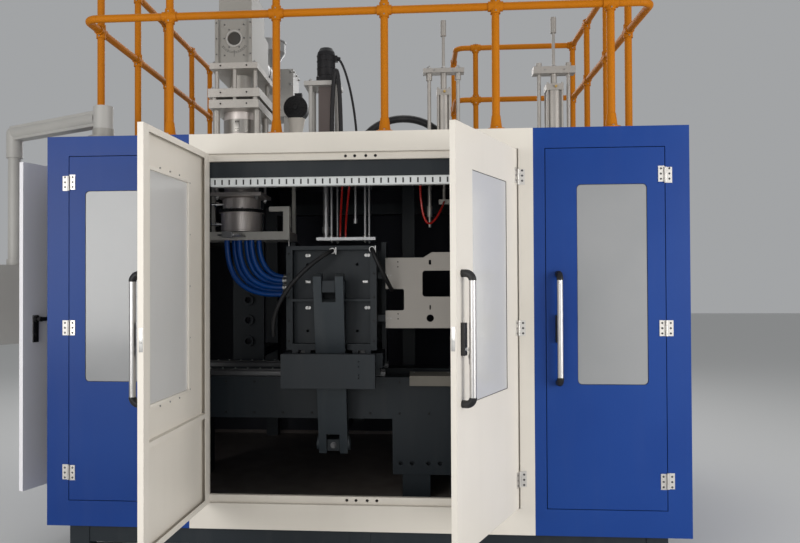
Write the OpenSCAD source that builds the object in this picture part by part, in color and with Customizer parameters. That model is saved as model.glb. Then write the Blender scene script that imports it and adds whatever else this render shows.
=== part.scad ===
// Shuttle blow moulding machine: two blue side cabinets, a white centre enclosure with two
// hinged doors, the clamp carriage with its rocker lever inside, and the die head, the blow
// and deflashing cylinders and a tubular guard rail on the roof.
// Millimetres. X to the right, Y to the back, Z up. The origin is the centre of the four
// floor anchor holes, on the floor.

/* [Enclosure] */
// Overall width of the enclosure
enclosure_w = 3450; // [3400:10:3600]
// Width of each blue side cabinet
side_w = 800; // [780:5:830]
// Depth of the enclosure from front face to back face
enclosure_d = 2600; // [2580:10:2700]
// Height of the enclosure above its base
enclosure_h = 2140; // [2120:10:2200]
// Height of the base under the enclosure
base_h = 200; // [180:5:220]
// Thickness of the enclosure's sheet steel
sheet_t = 3; // [2:0.5:4]
// Depth of the folded edge round each outer panel
panel_return = 50; // [40:1:60]

/* [Doors] */
// Thickness of a door pan
door_t = 28; // [24:1:34]
// Gap round a closed door
door_gap = 4; // [3:0.5:6]
// Height of the door openings' lower edge above the base
door_sill = 138; // [120:1:160]
// Distance from the door openings' upper edge to the roof
door_head = 108; // [95:1:130]
// Width of the white stile beside each white door
centre_stile = 77; // [70:1:90]
// Width of the blue stile between a blue door and the white front
inner_stile = 60; // [50:1:75]
// Width of the blue stile at the hinge side of a blue door
outer_stile = 122; // [110:1:135]
// Width of the lip behind a door's side edges
lip_side = 23; // [18:1:30]
// Height of the lip behind a door's top and bottom edges
lip_end = 38; // [30:1:45]
// Width of the window in a white door
white_window_w = 475; // [440:5:500]
// Width of the window in a blue door
blue_window_w = 360; // [320:5:380]
// Height of the door windows
window_h = 1048; // [1000:2:1080]
// Height of the windows' lower edge above the base
window_sill = 790; // [760:5:820]
// Opening angle of the left white door
left_door_open = 93.2; // [60:0.1:100]
// Opening angle of the right white door
right_door_open = 65; // [40:0.1:95]
// Opening angle of the door in the left side wall
side_door_open = 18; // [10:0.1:25]
// Width of the door in the left side wall, with its gaps
side_door_w = 790; // [740:5:800]
// Length of a pull handle
handle_l = 598; // [500:2:640]
// Diameter of a pull handle's tube
handle_d = 30; // [26:1:34]
// Distance from a door's face to the middle of its handle tube
handle_offset = 50; // [44:1:58]
// Distance from a door's free edge to its handle
handle_inset = 62; // [56:1:70]
// Diameter of a hinge barrel
hinge_d = 13; // [11:0.5:15]
// Diameter of a hinge pin
hinge_pin_d = 7; // [5:0.5:8]
// Length of a hinge
hinge_l = 82; // [70:1:90]
// Width of a hinge leaf, from the pin
hinge_leaf_w = 35; // [28:1:40]

/* [Stations] */
// X of the die head
die_x = -845; // [-860:1:-830]
// X of the blow pin
blow_x = -145; // [-160:1:-130]
// X of the deflashing cylinder
deflash_x = 487; // [470:1:500]
// X of the ejector cylinder
eject_x = 1190; // [1175:1:1205]
// Y of the line through all stations
station_y = -420; // [-430:1:-410]

/* [Clamp] */
// X of the clamp's middle, with the carriage under the blow pin
clamp_x = -198; // [-205:1:-190]
// Travel of the clamp carriage, towards the die head
shuttle_stroke = 640; // [600:5:650]
// Width of the platens
platen_w = 540; // [520:2:560]
// Height of the platens
platen_h = 620; // [600:2:640]
// Height of the rocker lever's pivot
pivot_z = 1025; // [1015:1:1035]
// Distance from the pivot to each end pin of the rocker lever
rocker_reach = 480; // [470:1:490]
// Tilt of the rocker lever with the clamp open
rocker_tilt = 13; // [11:0.5:14]
// Width of the rocker lever
rocker_w = 174; // [166:1:182]
// Thickness of the rocker lever
rocker_t = 90; // [80:1:96]
// Diameter of the rocker lever's end pins
rocker_pin_d = 50; // [44:1:54]
// Diameter of the rocker lever's pivot shaft
pivot_d = 70; // [60:1:76]

/* [Roof] */
// Height of the guard rail above the roof
guard_h = 1090; // [1000:5:1150]
// Height of the guard's middle rail above the roof
guard_mid = 666; // [600:2:700]
// Diameter of the guard's tubes
guard_d = 42; // [38:1:48]
// Diameter of the deflashing cylinder's barrel
deflash_d = 80; // [76:1:90]
// Diameter of the ejector cylinder's barrel
eject_d = 96; // [88:1:104]
// Diameter of the die head's barrel
die_barrel_d = 225; // [210:1:240]
// Diameter of the lower die ring
die_ring_d = 264; // [250:1:280]

/* [Control arm] */
// Length of the arm that carries the control panel
arm_l = 832; // [820:1:845]
// Direction of the arm, seen from above
arm_angle = 152.3; // [150:0.1:156]
// Width of the control panel
panel_w = 440; // [420:5:450]
// Height of the control panel
panel_h = 485; // [440:5:500]

/* [Anchors] */
// Distance between the anchor holes along X
anchor_dx = 3000; // [2960:10:3040]
// Distance between the anchor holes along Y
anchor_dy = 2300; // [2260:10:2320]
// Diameter of an anchor hole
anchor_d = 22; // [18:1:26]

/* [Hidden] */
$fn = 48;

// Colours
blue = [0.13, 0.26, 0.58];
cream = [0.83, 0.80, 0.75];
steel_grey = [0.20, 0.22, 0.24];
orange = [0.93, 0.53, 0.08];
light_grey = [0.66, 0.65, 0.63];
chrome = [0.80, 0.81, 0.82];
black = [0.06, 0.06, 0.07];
frosted = [0.82, 0.84, 0.86];

// Clearances
slide_gap = 0.5;
pin_gap = 0.05;
eps = 0.01;
weld_gap = 0.3;
hose_gap = 0.3;

// Enclosure
half_w = enclosure_w / 2;
white_half = half_w - side_w;
front_y = -enclosure_d / 2;
back_y = enclosure_d / 2;
roof_z = base_h + enclosure_h;
deck_t = 6;
under_deck = roof_z - deck_t;
rebate_d = door_t + 2;
rebate_z = [base_h + door_sill, roof_z - door_head];
door_z = [rebate_z[0] + door_gap, rebate_z[1] - door_gap];
opening_z = [rebate_z[0] + lip_end, rebate_z[1] - lip_end];
window_z = [base_h + window_sill, base_h + window_sill + window_h];
white_rebate = white_half - centre_stile;
blue_rebate = [white_half + inner_stile, half_w - outer_stile];
white_door_w = white_rebate - door_gap * 1.5;
blue_door_w = blue_rebate[1] - blue_rebate[0] - 2 * door_gap;
side_rebate_y = [-402 - side_door_w, -402];
side_leaf_w = side_door_w - 2 * door_gap;
blue_window_x = [92, 92 + blue_window_w];
left_window_x = [274, 274 + white_window_w];
right_window_x = [172, 172 + white_window_w];

// Hinges
hinge_off = hinge_d / 2;
leaf_t = 3;
hinge_z = [for (share = [0.922, 0.5, 0.081]) door_z[0] + share * (door_z[1] - door_z[0])];

// Base and frame
foot_t = 25;
base_beam = 100;
frame_beam = 100;
anchor_pad = 200;
column_x = white_half + 30;
lintel_z = [roof_z - 232, roof_z - 140];
rear_column_y = [220, 310];
bush_x = -971;
bush_y = [320, 350];
bush_z = [1084, 1243, 1395];
bush_r = 42;

// Bed, rails and carriage
bed_top = 946;
bed_x = [-1300, 1300];
bed_front_y = [-700, -540];
bed_rear_y = [-220, -60];
bed_beam_z = [692, bed_top];
bed_block_x = 156;
bed_leg_w = 170;
rail_w = 46;
rail_h = 40;
rail_y = [-620, -140];
rail_end_x = clamp_x + 308;
truck_h = 66;
carriage_z = [bed_top + truck_h, bed_top + truck_h + 88];
slideway_h = 26;
platen_z = [carriage_z[1] + slideway_h, carriage_z[1] + slideway_h + platen_h];
platen_t = 100;
front_platen_y = -870;
pivot_y = -860;
rocker_swing = rocker_reach * tan(rocker_tilt);
platen_stroke = 2 * rocker_swing;
rear_platen_y = 2 * station_y - front_platen_y;
upper_pin_z = pivot_z + rocker_reach;
lower_pin_z = pivot_z - rocker_reach;
fork_slot = 80;
cheek_t = 30;
crossbar_y = [-1060, -1000];
column_w = 220;
crossbar_z = [925, 1120];
slideway_x = platen_w / 2 - 90;
slideway_w = 40;

// Roof equipment
screw_x = blow_x - 134;
head_front_y = -625;
head_back_y = -127;
head_w = 240;
die_hole = die_barrel_d + 10;

// Guard
guard_r = guard_d / 2;
guard_x = [191 - half_w, half_w - 162];
guard_front_y = front_y + 50;
guard_z = [roof_z + guard_mid, roof_z + guard_h];
guard_back_y = 837;
guard_return_x = 630;
guard_rear_y = back_y - 50;
front_posts = [-1048, -451, 142, 739, 1343];
left_posts = [-1036, -458, 112, 722];
right_posts = [-775, -249, 321];
socket_l = 40;

// Control arm
arm_base = [275 - half_w, front_y + 100];
arm_z = 2459;
panel_z = [1644 - panel_h, 1644];

module block(x, y, z)
    translate([x[0], y[0], z[0]])
        cube([x[1] - x[0], y[1] - y[0], z[1] - z[0]]);

// Rectangular ring in the XZ plane, with its depth along Y
module ring_y(x, z, xi, zi, y)
    difference() {
        block(x, y, z);
        block(xi, [y[0] - 1, y[1] + 1], zi);
    }

// Rectangular ring in the YZ plane, with its depth along X
module ring_x(y, z, yi, zi, x)
    difference() {
        block(x, y, z);
        block([x[0] - 1, x[1] + 1], yi, zi);
    }

// Round bar along Y
module bar_y(r, x, y, z)
    translate([x, y[0], z]) rotate([-90, 0, 0]) cylinder(r = r, h = y[1] - y[0]);

// Round bar along X
module bar_x(r, x, y, z)
    translate([x[0], y, z]) rotate([0, 90, 0]) cylinder(r = r, h = x[1] - x[0]);

// Round bar along Z
module bar_z(r, x, y, z)
    translate([x, y, z[0]]) cylinder(r = r, h = z[1] - z[0]);

function grow(span, by) = [span[0] - by, span[1] + by];

// Hollow square tube along one axis, given as a block with its wall
module box_beam_x(x, y, z, wall = 8)
    difference() {
        block(x, y, z);
        block(grow(x, 1), grow(y, -wall), grow(z, -wall));
    }

// Hose swept along hand-chosen points: one closed tube with flat ends
function unit(v) = v / norm(v);
function tangent(p, i) =
    unit(p[min(i + 1, len(p) - 1)] - p[max(i - 1, 0)]);
function side_of(t) = abs(t[2]) > 0.9 ? unit(cross(t, [0, 1, 0])) : unit(cross(t, [0, 0, 1]));
function bezier(p, t) =
    pow(1 - t, 3) * p[0] + 3 * pow(1 - t, 2) * t * p[1] + 3 * (1 - t) * t * t * p[2] + t * t * t * p[3];
function hose_line(p, steps) = [for (i = [0:steps]) bezier(p, i / steps)];

function heading(p, line, i) =
    i == 0 ? unit(p[1] - p[0]) : i == len(line) - 1 ? unit(p[3] - p[2]) : tangent(line, i);
function level(v, t) = unit(v - (v * t) * t);

module hose(p, d, steps = 12, sides = 8) {
    line = hose_line(p, steps);
    // The ring's first direction lies across the hose's own plane, so it never twists
    across = unit(cross(p[3] - p[0], p[1] - p[0] + [0.001, 0.002, 0]));
    points = [
        for (i = [0:steps], k = [0:sides - 1])
            line[i] + d / 2 * (cos(360 * k / sides) * level(across, heading(p, line, i))
                + sin(360 * k / sides) * unit(cross(heading(p, line, i), across)))
    ];
    walls = [
        for (i = [0:steps - 1], k = [0:sides - 1])
            [i * sides + k, (i + 1) * sides + k,
             (i + 1) * sides + (k + 1) % sides, i * sides + (k + 1) % sides]
    ];
    ends = [
        [for (k = [0:sides - 1]) k],
        [for (k = [sides - 1:-1:0]) steps * sides + k]
    ];
    polyhedron(points, concat(walls, ends), convexity = 4);
}

// Folded sheet front with a rebated door opening: x span, rebate span and lip opening
module pressed_front(x, rx) {
    z = [base_h, roof_z];
    ox = grow(rx, -lip_side);
    ring_y(x, z, rx, rebate_z, [front_y, front_y + sheet_t]);
    ring_y(x, z, grow(x, -sheet_t), grow(z, -sheet_t), [front_y, front_y + panel_return]);
    ring_y(grow(rx, sheet_t), grow(rebate_z, sheet_t), rx, rebate_z,
        [front_y, front_y + rebate_d + sheet_t]);
    ring_y(grow(rx, sheet_t), grow(rebate_z, sheet_t), ox, opening_z,
        [front_y + rebate_d, front_y + rebate_d + sheet_t]);
    ring_y(grow(ox, sheet_t), grow(opening_z, sheet_t), ox, opening_z,
        [front_y + rebate_d, front_y + rebate_d + lip_side]);
}

module left_front_panel()
    color(blue) pressed_front([-half_w, -white_half], [-blue_rebate[1], -blue_rebate[0]]);

module right_front_panel()
    color(blue) pressed_front([white_half, half_w], blue_rebate);

module centre_front_panel() {
    // Four fixing holes near the middle of the lip, above and below
    hole_r = 8;
    hole_x = [-70, -20, 40, 92];
    color(cream)
        difference() {
            pressed_front([-white_half, white_half], [-white_rebate, white_rebate]);
            for (x = hole_x, z = [opening_z[1] + lip_end / 2, opening_z[0] - lip_end / 2])
                bar_y(hole_r, x, [front_y + rebate_d - 1, front_y + rebate_d + sheet_t + 1], z);
        }
}

// Side walls run between the folded edges of the front and rear panels
module left_side_panel() {
    z = [base_h, roof_z];
    y = [front_y + panel_return, back_y - panel_return];
    ry = side_rebate_y;
    oy = grow(ry, -lip_side);
    x0 = -half_w;
    color(blue) {
        ring_x(y, z, ry, rebate_z, [x0, x0 + sheet_t]);
        ring_x(y, z, grow(y, -sheet_t), grow(z, -sheet_t), [x0, x0 + panel_return]);
        ring_x(grow(ry, sheet_t), grow(rebate_z, sheet_t), ry, rebate_z,
            [x0, x0 + rebate_d + sheet_t]);
        ring_x(grow(ry, sheet_t), grow(rebate_z, sheet_t), oy, opening_z,
            [x0 + rebate_d, x0 + rebate_d + sheet_t]);
    }
}

module right_side_panel() {
    z = [base_h, roof_z];
    y = [front_y + panel_return, back_y - panel_return];
    x1 = half_w;
    stiffener = [40, 25];
    color(blue) {
        block([x1 - sheet_t, x1], y, z);
        ring_x(y, z, grow(y, -sheet_t), grow(z, -sheet_t), [x1 - panel_return, x1]);
        for (share = [0.25, 0.5, 0.75])
            block([x1 - sheet_t - stiffener[1], x1 - sheet_t],
                [y[0] + share * (y[1] - y[0]), y[0] + share * (y[1] - y[0]) + stiffener[0]],
                grow(z, -sheet_t));
    }
}

// Three bolted rear panels, each with a band of cooling slots near its foot and its head
module rear_panels() {
    z = [base_h, roof_z];
    slot = [180, 10];
    slot_pitch = 32;
    slot_rows = 9;
    edges = [-half_w, -white_half, white_half, half_w];
    color(blue)
        for (i = [0:2]) {
            x = [edges[i] + (i == 0 ? 0 : 1), edges[i + 1] - (i == 2 ? 0 : 1)];
            mid = (x[0] + x[1]) / 2;
            difference() {
                union() {
                    block(x, [back_y - sheet_t, back_y], z);
                    ring_y(x, z, grow(x, -sheet_t), grow(z, -sheet_t),
                        [back_y - panel_return, back_y]);
                }
                for (row = i == 1 ? [] : [0:slot_rows - 1], foot = [base_h + 200, roof_z - 480],
                        side = [-1, 1])
                    block([mid + side * 130 - slot[0] / 2, mid + side * 130 + slot[0] / 2],
                        [back_y - sheet_t - 1, back_y + 1],
                        [foot + row * slot_pitch, foot + row * slot_pitch + slot[1]]);
            }
        }
}

module roof_deck() {
    // Openings for the die head, the blow unit and the cylinders' columns
    color(steel_grey)
        difference() {
            block([-half_w + panel_return, half_w - panel_return],
                [front_y + panel_return, back_y - panel_return],
                [under_deck, roof_z]);
            block([die_x - die_hole / 2, die_x + die_hole / 2],
                [station_y - die_hole / 2, station_y + die_hole / 2],
                [roof_z - 60, roof_z + 1]);
            block(grow([screw_x, screw_x], 30), grow([station_y, station_y], 30),
                [roof_z - 60, roof_z + 1]);
            for (x = [deflash_x, eject_x], side = [-1, 1])
                bar_z(crosshead_rod_r + 12, x + side * crosshead_span, station_y,
                    [roof_z - 60, roof_z + 1]);
            for (x = [deflash_x, eject_x])
                bar_z(ram_r + 12, x, station_y, [roof_z - 60, roof_z + 1]);
        }
}

// Base of box beams on foot plates, with the four anchor holes in the corner plates
module base_frame() {
    beam_z = [base_h - base_beam, base_h];
    x = anchor_dx / 2 + 60;
    y = anchor_dy / 2 + 50;
    leg = 110;
    foot_x = [-anchor_dx / 2, 0, anchor_dx / 2];
    color(steel_grey)
        difference() {
            union() {
                for (side = [-1, 1]) {
                    block([-x - base_beam / 2, x + base_beam / 2],
                        [side * y - base_beam / 2, side * y + base_beam / 2], beam_z);
                    block([side * x - base_beam / 2, side * x + base_beam / 2],
                        [-y, y], beam_z);
                }
                for (cross_x = [-x / 2, 0, x / 2])
                    block([cross_x - base_beam / 2, cross_x + base_beam / 2], [-y, y], beam_z);
                for (fx = foot_x, side = [-1, 1]) {
                    fy = side * anchor_dy / 2;
                    out_x = fx == 0 ? 0 : sign(fx) * (x - abs(fx));
                    block([fx + out_x - leg / 2, fx + out_x + leg / 2],
                        [side * y - leg / 2, side * y + leg / 2], [foot_t, base_h - 1]);
                    block([fx - anchor_pad / 2, fx + anchor_pad / 2],
                        [fy - anchor_pad / 2, fy + anchor_pad / 2], [0, foot_t]);
                }
            }
            for (sx = [-1, 1], sy = [-1, 1])
                bar_z(anchor_d / 2, sx * anchor_dx / 2, sy * anchor_dy / 2, [-1, base_h + 1]);
        }
}

module floor_tray() {
    rim = 30;
    x = half_w - panel_return - 10;
    y = back_y - panel_return - 5;
    color([0.28, 0.22, 0.18])
        difference() {
            block([-x, x], [-y, y], [base_h, base_h + rim]);
            block([-x + sheet_t, x - sheet_t], [-y + sheet_t, y - sheet_t],
                [base_h + sheet_t, base_h + rim + 1]);
        }
}

// Welded bed: two box beams, a deep block at the right and a leg at the left, with the
// passage for the lower end of the rocker lever and its drawbar between them
module bed_frame() {
    z0 = base_h + sheet_t;
    pad_z = 354;
    hole_x = [205, 275, 375, 445];
    color(steel_grey)
        difference() {
            union() {
                for (y = [bed_front_y, bed_rear_y]) {
                    block(bed_x, y, bed_beam_z);
                    block([bed_block_x, bed_x[1]], y, [pad_z, bed_top]);
                    block([bed_x[0], bed_x[0] + bed_leg_w], y, [z0, bed_top]);
                }
                for (x = [[bed_x[0], bed_x[0] + bed_leg_w], [bed_x[1] - bed_leg_w, bed_x[1]]])
                    block(x, [bed_front_y[0], bed_rear_y[1]], [z0 + 200, bed_top - 60]);
                block([bed_block_x, bed_block_x + bed_leg_w],
                    [bed_front_y[0], bed_rear_y[1]], [pad_z, bed_top - 60]);
                for (x = [bed_block_x + 60, bed_x[1] - bed_leg_w], y = [bed_front_y, bed_rear_y])
                    block([x, x + bed_leg_w], grow(y, -20), [z0, pad_z + 1]);
            }
            for (x = hole_x)
                bar_y(13, x, [bed_front_y[0] - 1, bed_front_y[0] + 40], 423);
        }
}

// Linear rails on the bed, one on each beam
module carriage_rails()
    color(chrome)
        for (y = rail_y)
            difference() {
                block([bed_x[0] + 20, rail_end_x], [y - rail_w / 2, y + rail_w / 2],
                    [bed_top, bed_top + rail_h]);
                for (side = [-1, 1])
                    translate([bed_x[0], y + side * rail_w / 2, bed_top + rail_h * 0.62])
                        rotate([45, 0, 0]) cube([bed_x[1] - bed_x[0], 9, 9]);
            }

// Portal of square tube that carries the roof and the stations
module portal_frame() {
    post = frame_beam / 2;
    post_y = [front_y + 110, back_y - 110];
    beam_z = [under_deck - frame_beam, under_deck];
    z0 = base_h + sheet_t;
    beam_y = [station_y - 250, station_y + 250];
    top = beam_z[0] - weld_gap;
    lintel_x = grow([-column_x, column_x], -post - weld_gap);
    tie_z = [bush_z[0] - 140, top - 60];
    // Each member is a solid of its own, with a fine joint where it is welded to the next
    color(steel_grey) {
        for (x = [-column_x, column_x], y = post_y)
            block([x - post, x + post], [y - post, y + post], [z0, top]);
        for (x = [-column_x, column_x]) {
            block([x - post, x + post], [post_y[0] - post, beam_y[0] - post - weld_gap], beam_z);
            block([x - post, x + post], [beam_y[1] + post + weld_gap, post_y[1] + post], beam_z);
        }
        for (y = post_y) block(lintel_x, [y - post, y + post], lintel_z);
        for (y = beam_y)
            block([-half_w + panel_return, half_w - panel_return], [y - post, y + post], beam_z);
        // Column behind the carriage's path with its bracket, and the plate with three bushes
        block([200, 290], rear_column_y, [z0, top]);
        block([200, 290], [beam_y[1] + post + weld_gap, rear_column_y[1]], beam_z);
        difference() {
            union() {
                block([bush_x - 119, bush_x + 119], bush_y, [bush_z[0] - 140, top]);
                for (z = bush_z) bar_y(bush_r, bush_x, [bush_y[0] - 22, bush_y[1]], z);
            }
            for (z = bush_z) bar_y(bush_r * 0.55, bush_x, grow([bush_y[0] - 22, bush_y[1]], 1), z);
        }
        for (z = tie_z)
            block([-column_x - post, -column_x + post],
                [bush_y[1] + weld_gap, post_y[1] - post - weld_gap], [z, z + 60]);
    }
}

// White slotted duct across the top of the opening
module cable_duct() {
    x = white_rebate - lip_side;
    z = [lintel_z[0] - 48, lintel_z[0]];
    y0 = front_y + 68;
    slot = [9, 28];
    pitch = 40;
    count = floor(2 * x / pitch) - 1;
    color([0.93, 0.94, 0.94])
        difference() {
            block([-x, x], [y0, y0 + 50], z);
            block([-x - 1, x + 1], [y0 + 3, y0 + 51], [z[0] + 3, z[1] - 3]);
            for (i = [0:count])
                translate([(i - count / 2) * pitch - slot[0] / 2, y0 - 1, (z[0] + z[1] - slot[1]) / 2])
                    cube([slot[0], 5, slot[1]]);
        }
}

// One guard post: base disc, flared foot, tube and the sockets that take the rails.
// dirs lists the directions, in degrees, in which rails leave it.
module guard_post(x, y, dirs) {
    sleeve_r = guard_r + 6;
    translate([x, y, roof_z]) {
        cylinder(r = guard_r * 2.4, h = 7);
        cylinder(r1 = guard_r * 1.6, r2 = guard_r * 1.12, h = 78);
        cylinder(r = guard_r, h = guard_h + guard_r * 0.7);
        for (h = [guard_mid, guard_h]) {
            translate([0, 0, h - 40]) cylinder(r = sleeve_r, h = h == guard_h ? 64 : 80);
            for (a = dirs)
                translate([0, 0, h]) rotate([0, 90, a])
                    cylinder(r = sleeve_r, h = socket_l);
        }
    }
}

module guard_posts()
    color(orange) {
        for (x = front_posts) guard_post(x, guard_front_y, [0, 180]);
        for (y = left_posts) guard_post(guard_x[0], y, [90, 270]);
        guard_post(guard_x[0], guard_rear_y, [270]);
        for (y = right_posts) guard_post(guard_x[1], y, [90, 270]);
        guard_post(guard_x[1], guard_back_y, [180, 270]);
        guard_post(788, guard_back_y, [0, 180]);
        guard_post(guard_return_x, guard_rear_y, [270]);
    }

// Rail tubes between two sockets, along X or along Y
module rails_x(stops, y, ends = [1, 1])
    for (z = guard_z, i = [0:len(stops) - 2])
        bar_x(guard_r, [stops[i] + socket_l * (i == 0 ? ends[0] : 1),
            stops[i + 1] - socket_l * (i == len(stops) - 2 ? ends[1] : 1)], y, z);

module rails_y(stops, x, ends = [1, 1])
    for (z = guard_z, i = [0:len(stops) - 2])
        bar_y(guard_r, x, [stops[i] + socket_l * (i == 0 ? ends[0] : 1),
            stops[i + 1] - socket_l * (i == len(stops) - 2 ? ends[1] : 1)], z);

// Bent corner tube: the corner's own point and the quadrant that the bend turns through
module guard_corner(x, y, a)
    for (z = guard_z)
        translate([x, y, z]) rotate([0, 0, a])
            translate([-corner_r, -corner_r, 0])
                rotate_extrude(angle = 90) translate([corner_r, 0]) circle(r = guard_r);

corner_r = 70;

module guard_rails()
    color(orange) {
        corner = (corner_r + weld_gap) / socket_l;
        rails_x(concat([guard_x[0]], front_posts, [guard_x[1]]), guard_front_y, [corner, corner]);
        rails_y(concat([guard_front_y], left_posts, [guard_rear_y]), guard_x[0], [corner, 1]);
        rails_y(concat([guard_front_y], right_posts, [guard_back_y]), guard_x[1], [corner, 1]);
        rails_x([guard_return_x, 788, guard_x[1]], guard_back_y, [corner, 1]);
        rails_y([guard_back_y, guard_rear_y], guard_return_x, [corner, 1]);
        guard_corner(guard_x[0], guard_front_y, 180);
        guard_corner(guard_x[1], guard_front_y, 270);
        guard_corner(guard_return_x, guard_back_y, 180);
    }

// Hinge: one leaf with the two outer barrels and the pin stays on the frame, and the other
// leaf with the middle barrel turns with the door. The pin is at the origin, the faces of
// door and frame lie at y = hinge_off, and side is the side that the leaf lies on.
module hinge_leaf_plate(side, z)
    block(side > 0 ? [hinge_off + 1, hinge_leaf_w] : [-hinge_leaf_w, -hinge_off - 1],
        [hinge_off - leaf_t, hinge_off], z);

module hinge_knuckle(side, z) {
    bar_z(hinge_d / 2, 0, 0, z);
    block(side > 0 ? [0, hinge_off + 2] : [-hinge_off - 2, 0],
        [hinge_off - leaf_t, hinge_off - 0.2], z);
}

module fixed_leaf(zc) {
    third = hinge_l / 3;
    z = [zc - hinge_l / 2, zc + hinge_l / 2];
    hinge_leaf_plate(-1, z);
    hinge_knuckle(-1, [z[0], z[0] + third - slide_gap]);
    hinge_knuckle(-1, [z[1] - third + slide_gap, z[1]]);
    bar_z(hinge_pin_d / 2, 0, 0, z);
}

module moving_leaf(zc) {
    third = hinge_l / 3;
    difference() {
        union() {
            hinge_leaf_plate(1, [zc - hinge_l / 2, zc + hinge_l / 2]);
            hinge_knuckle(1, [zc - third / 2, zc + third / 2]);
        }
        bar_z(hinge_pin_d / 2 + pin_gap, 0, 0, [zc - hinge_l, zc + hinge_l]);
    }
}

// Places a door's parts at its hinge axis. closed turns the closed door's own frame into
// place, open is its angle, and right-hung doors are mirrored.
module at_hinge(x, y, closed, open, right_hung = false)
    translate([x, y, 0])
        rotate([0, 0, closed + (right_hung ? open : -open)])
            mirror([right_hung ? 1 : 0, 0, 0])
                children();

white_hinge_x = white_rebate - door_gap / 2;
blue_hinge_x = blue_rebate[1] - door_gap / 2;
hinge_y = front_y - hinge_off;
side_hinge = [-half_w - hinge_off, side_rebate_y[1] - door_gap / 2];

module at_left_white(open = left_door_open) at_hinge(-white_hinge_x, hinge_y, 0, open) children();
module at_right_white(open = right_door_open)
    at_hinge(white_hinge_x, hinge_y, 0, open, true) children();
module at_left_blue() at_hinge(-blue_hinge_x, hinge_y, 0, 0) children();
module at_right_blue() at_hinge(blue_hinge_x, hinge_y, 0, 0, true) children();
module at_side(open = side_door_open) at_hinge(side_hinge[0], side_hinge[1], -90, open) children();

module hinge_leaves()
    color(chrome)
        for (zc = hinge_z) {
            at_left_white(0) fixed_leaf(zc);
            at_right_white(0) fixed_leaf(zc);
            at_left_blue() fixed_leaf(zc);
            at_right_blue() fixed_leaf(zc);
            at_side(0) fixed_leaf(zc);
        }

// Closed rounded rectangle in the XZ plane, for window cut-outs and panes
module rounded_y(x, z, r, y)
    if (r > 0)
        union() {
            block(grow(x, -r), y, z);
            block(x, y, grow(z, -r));
            for (cx = grow(x, -r), cz = grow(z, -r)) bar_y(r, cx, y, cz);
        }
    else
        block(x, y, z);

// Door pan in its own frame: folded sheet with a window, an inner flange, a retaining
// frame for the pane, and a stiffening rib where the white doors have one
module door_pan(w, window_x, corner_r, rib) {
    x = [door_gap / 2, door_gap / 2 + w];
    y = [hinge_off, hinge_off + door_t];
    flange = [60, 30];
    pane_y = y[0] + sheet_t + pane_t;
    difference() {
        block(x, [y[0], y[0] + sheet_t], door_z);
        rounded_y(window_x, window_z, corner_r, [y[0] - 1, y[0] + sheet_t + 1]);
    }
    ring_y(x, door_z, grow(x, -sheet_t), grow(door_z, -sheet_t), y);
    ring_y(x, door_z, grow(x, -flange[0]), grow(door_z, -flange[1]), [y[1] - sheet_t, y[1]]);
    difference() {
        block(grow(window_x, 34), [y[0] + sheet_t, pane_y + 4], grow(window_z, 34));
        rounded_y(window_x, window_z, corner_r, [y[0] - 1, y[1] + 1]);
        block(grow(window_x, 14), [y[0] - 1, pane_y + 0.3], grow(window_z, 14));
    }
    if (rib) {
        rib_z = [base_h + 608, base_h + 632];
        block(grow(x, -sheet_t), [y[0] + sheet_t, y[1] - sheet_t], rib_z);
        block(grow(x, -flange[0]), [y[0] + sheet_t, y[1]], rib_z);
    }
    for (zc = hinge_z) moving_leaf(zc);
}

pane_t = 5;

module door_pane(window_x)
    block(grow(window_x, 12), [hinge_off + sheet_t, hinge_off + sheet_t + pane_t],
        grow(window_z, 12));

// Pull handle: a tube between two bent ends, and the lock case behind it
module door_handle(w) {
    x = door_gap / 2 + w - handle_inset;
    z = [985, 985 + handle_l];
    bend = handle_offset - handle_d / 2 - 4;
    r = handle_d / 2;
    tube_y = hinge_off - handle_offset;
    bar_z(r, x, tube_y, [z[0] + r + bend, z[1] - r - bend]);
    for (end = [0, 1])
        translate([x, tube_y + bend, end == 0 ? z[0] + r + bend : z[1] - r - bend])
            mirror([0, 0, 1 - end])
                rotate([90, 0, -90]) {
                    rotate_extrude(angle = 90) translate([bend, 0]) circle(r = r + 2);
                    translate([0, bend, 0]) rotate([0, -90, 0])
                        cylinder(r = r + 2, h = handle_offset - bend);
                }
    block([x - 16, x + 16], [hinge_off - 18, hinge_off], [1211, 1353]);
}

module left_white_door() color(cream) at_left_white() door_pan(white_door_w, left_window_x, 0, true);
module left_white_window() color(frosted) at_left_white() door_pane(left_window_x);
module left_white_handle() color(light_grey) at_left_white() door_handle(white_door_w);
module right_white_door()
    color(cream) at_right_white() door_pan(white_door_w, right_window_x, 0, true);
module right_white_window() color(frosted) at_right_white() door_pane(right_window_x);
module right_white_handle() color(light_grey) at_right_white() door_handle(white_door_w);
module left_blue_door() color(blue) at_left_blue() door_pan(blue_door_w, blue_window_x, 22, false);
module left_blue_window() color(frosted) at_left_blue() door_pane(blue_window_x);
module left_blue_handle() color(light_grey) at_left_blue() door_handle(blue_door_w);
module right_blue_door() color(blue) at_right_blue() door_pan(blue_door_w, blue_window_x, 22, false);
module right_blue_window() color(frosted) at_right_blue() door_pane(blue_window_x);
module right_blue_handle() color(light_grey) at_right_blue() door_handle(blue_door_w);

// Side door: plain pan with a lock case inside, bored for the lever's spindle
lever_x = side_leaf_w - 86;
lever_z = 1322;
spindle_r = 9;

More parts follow.
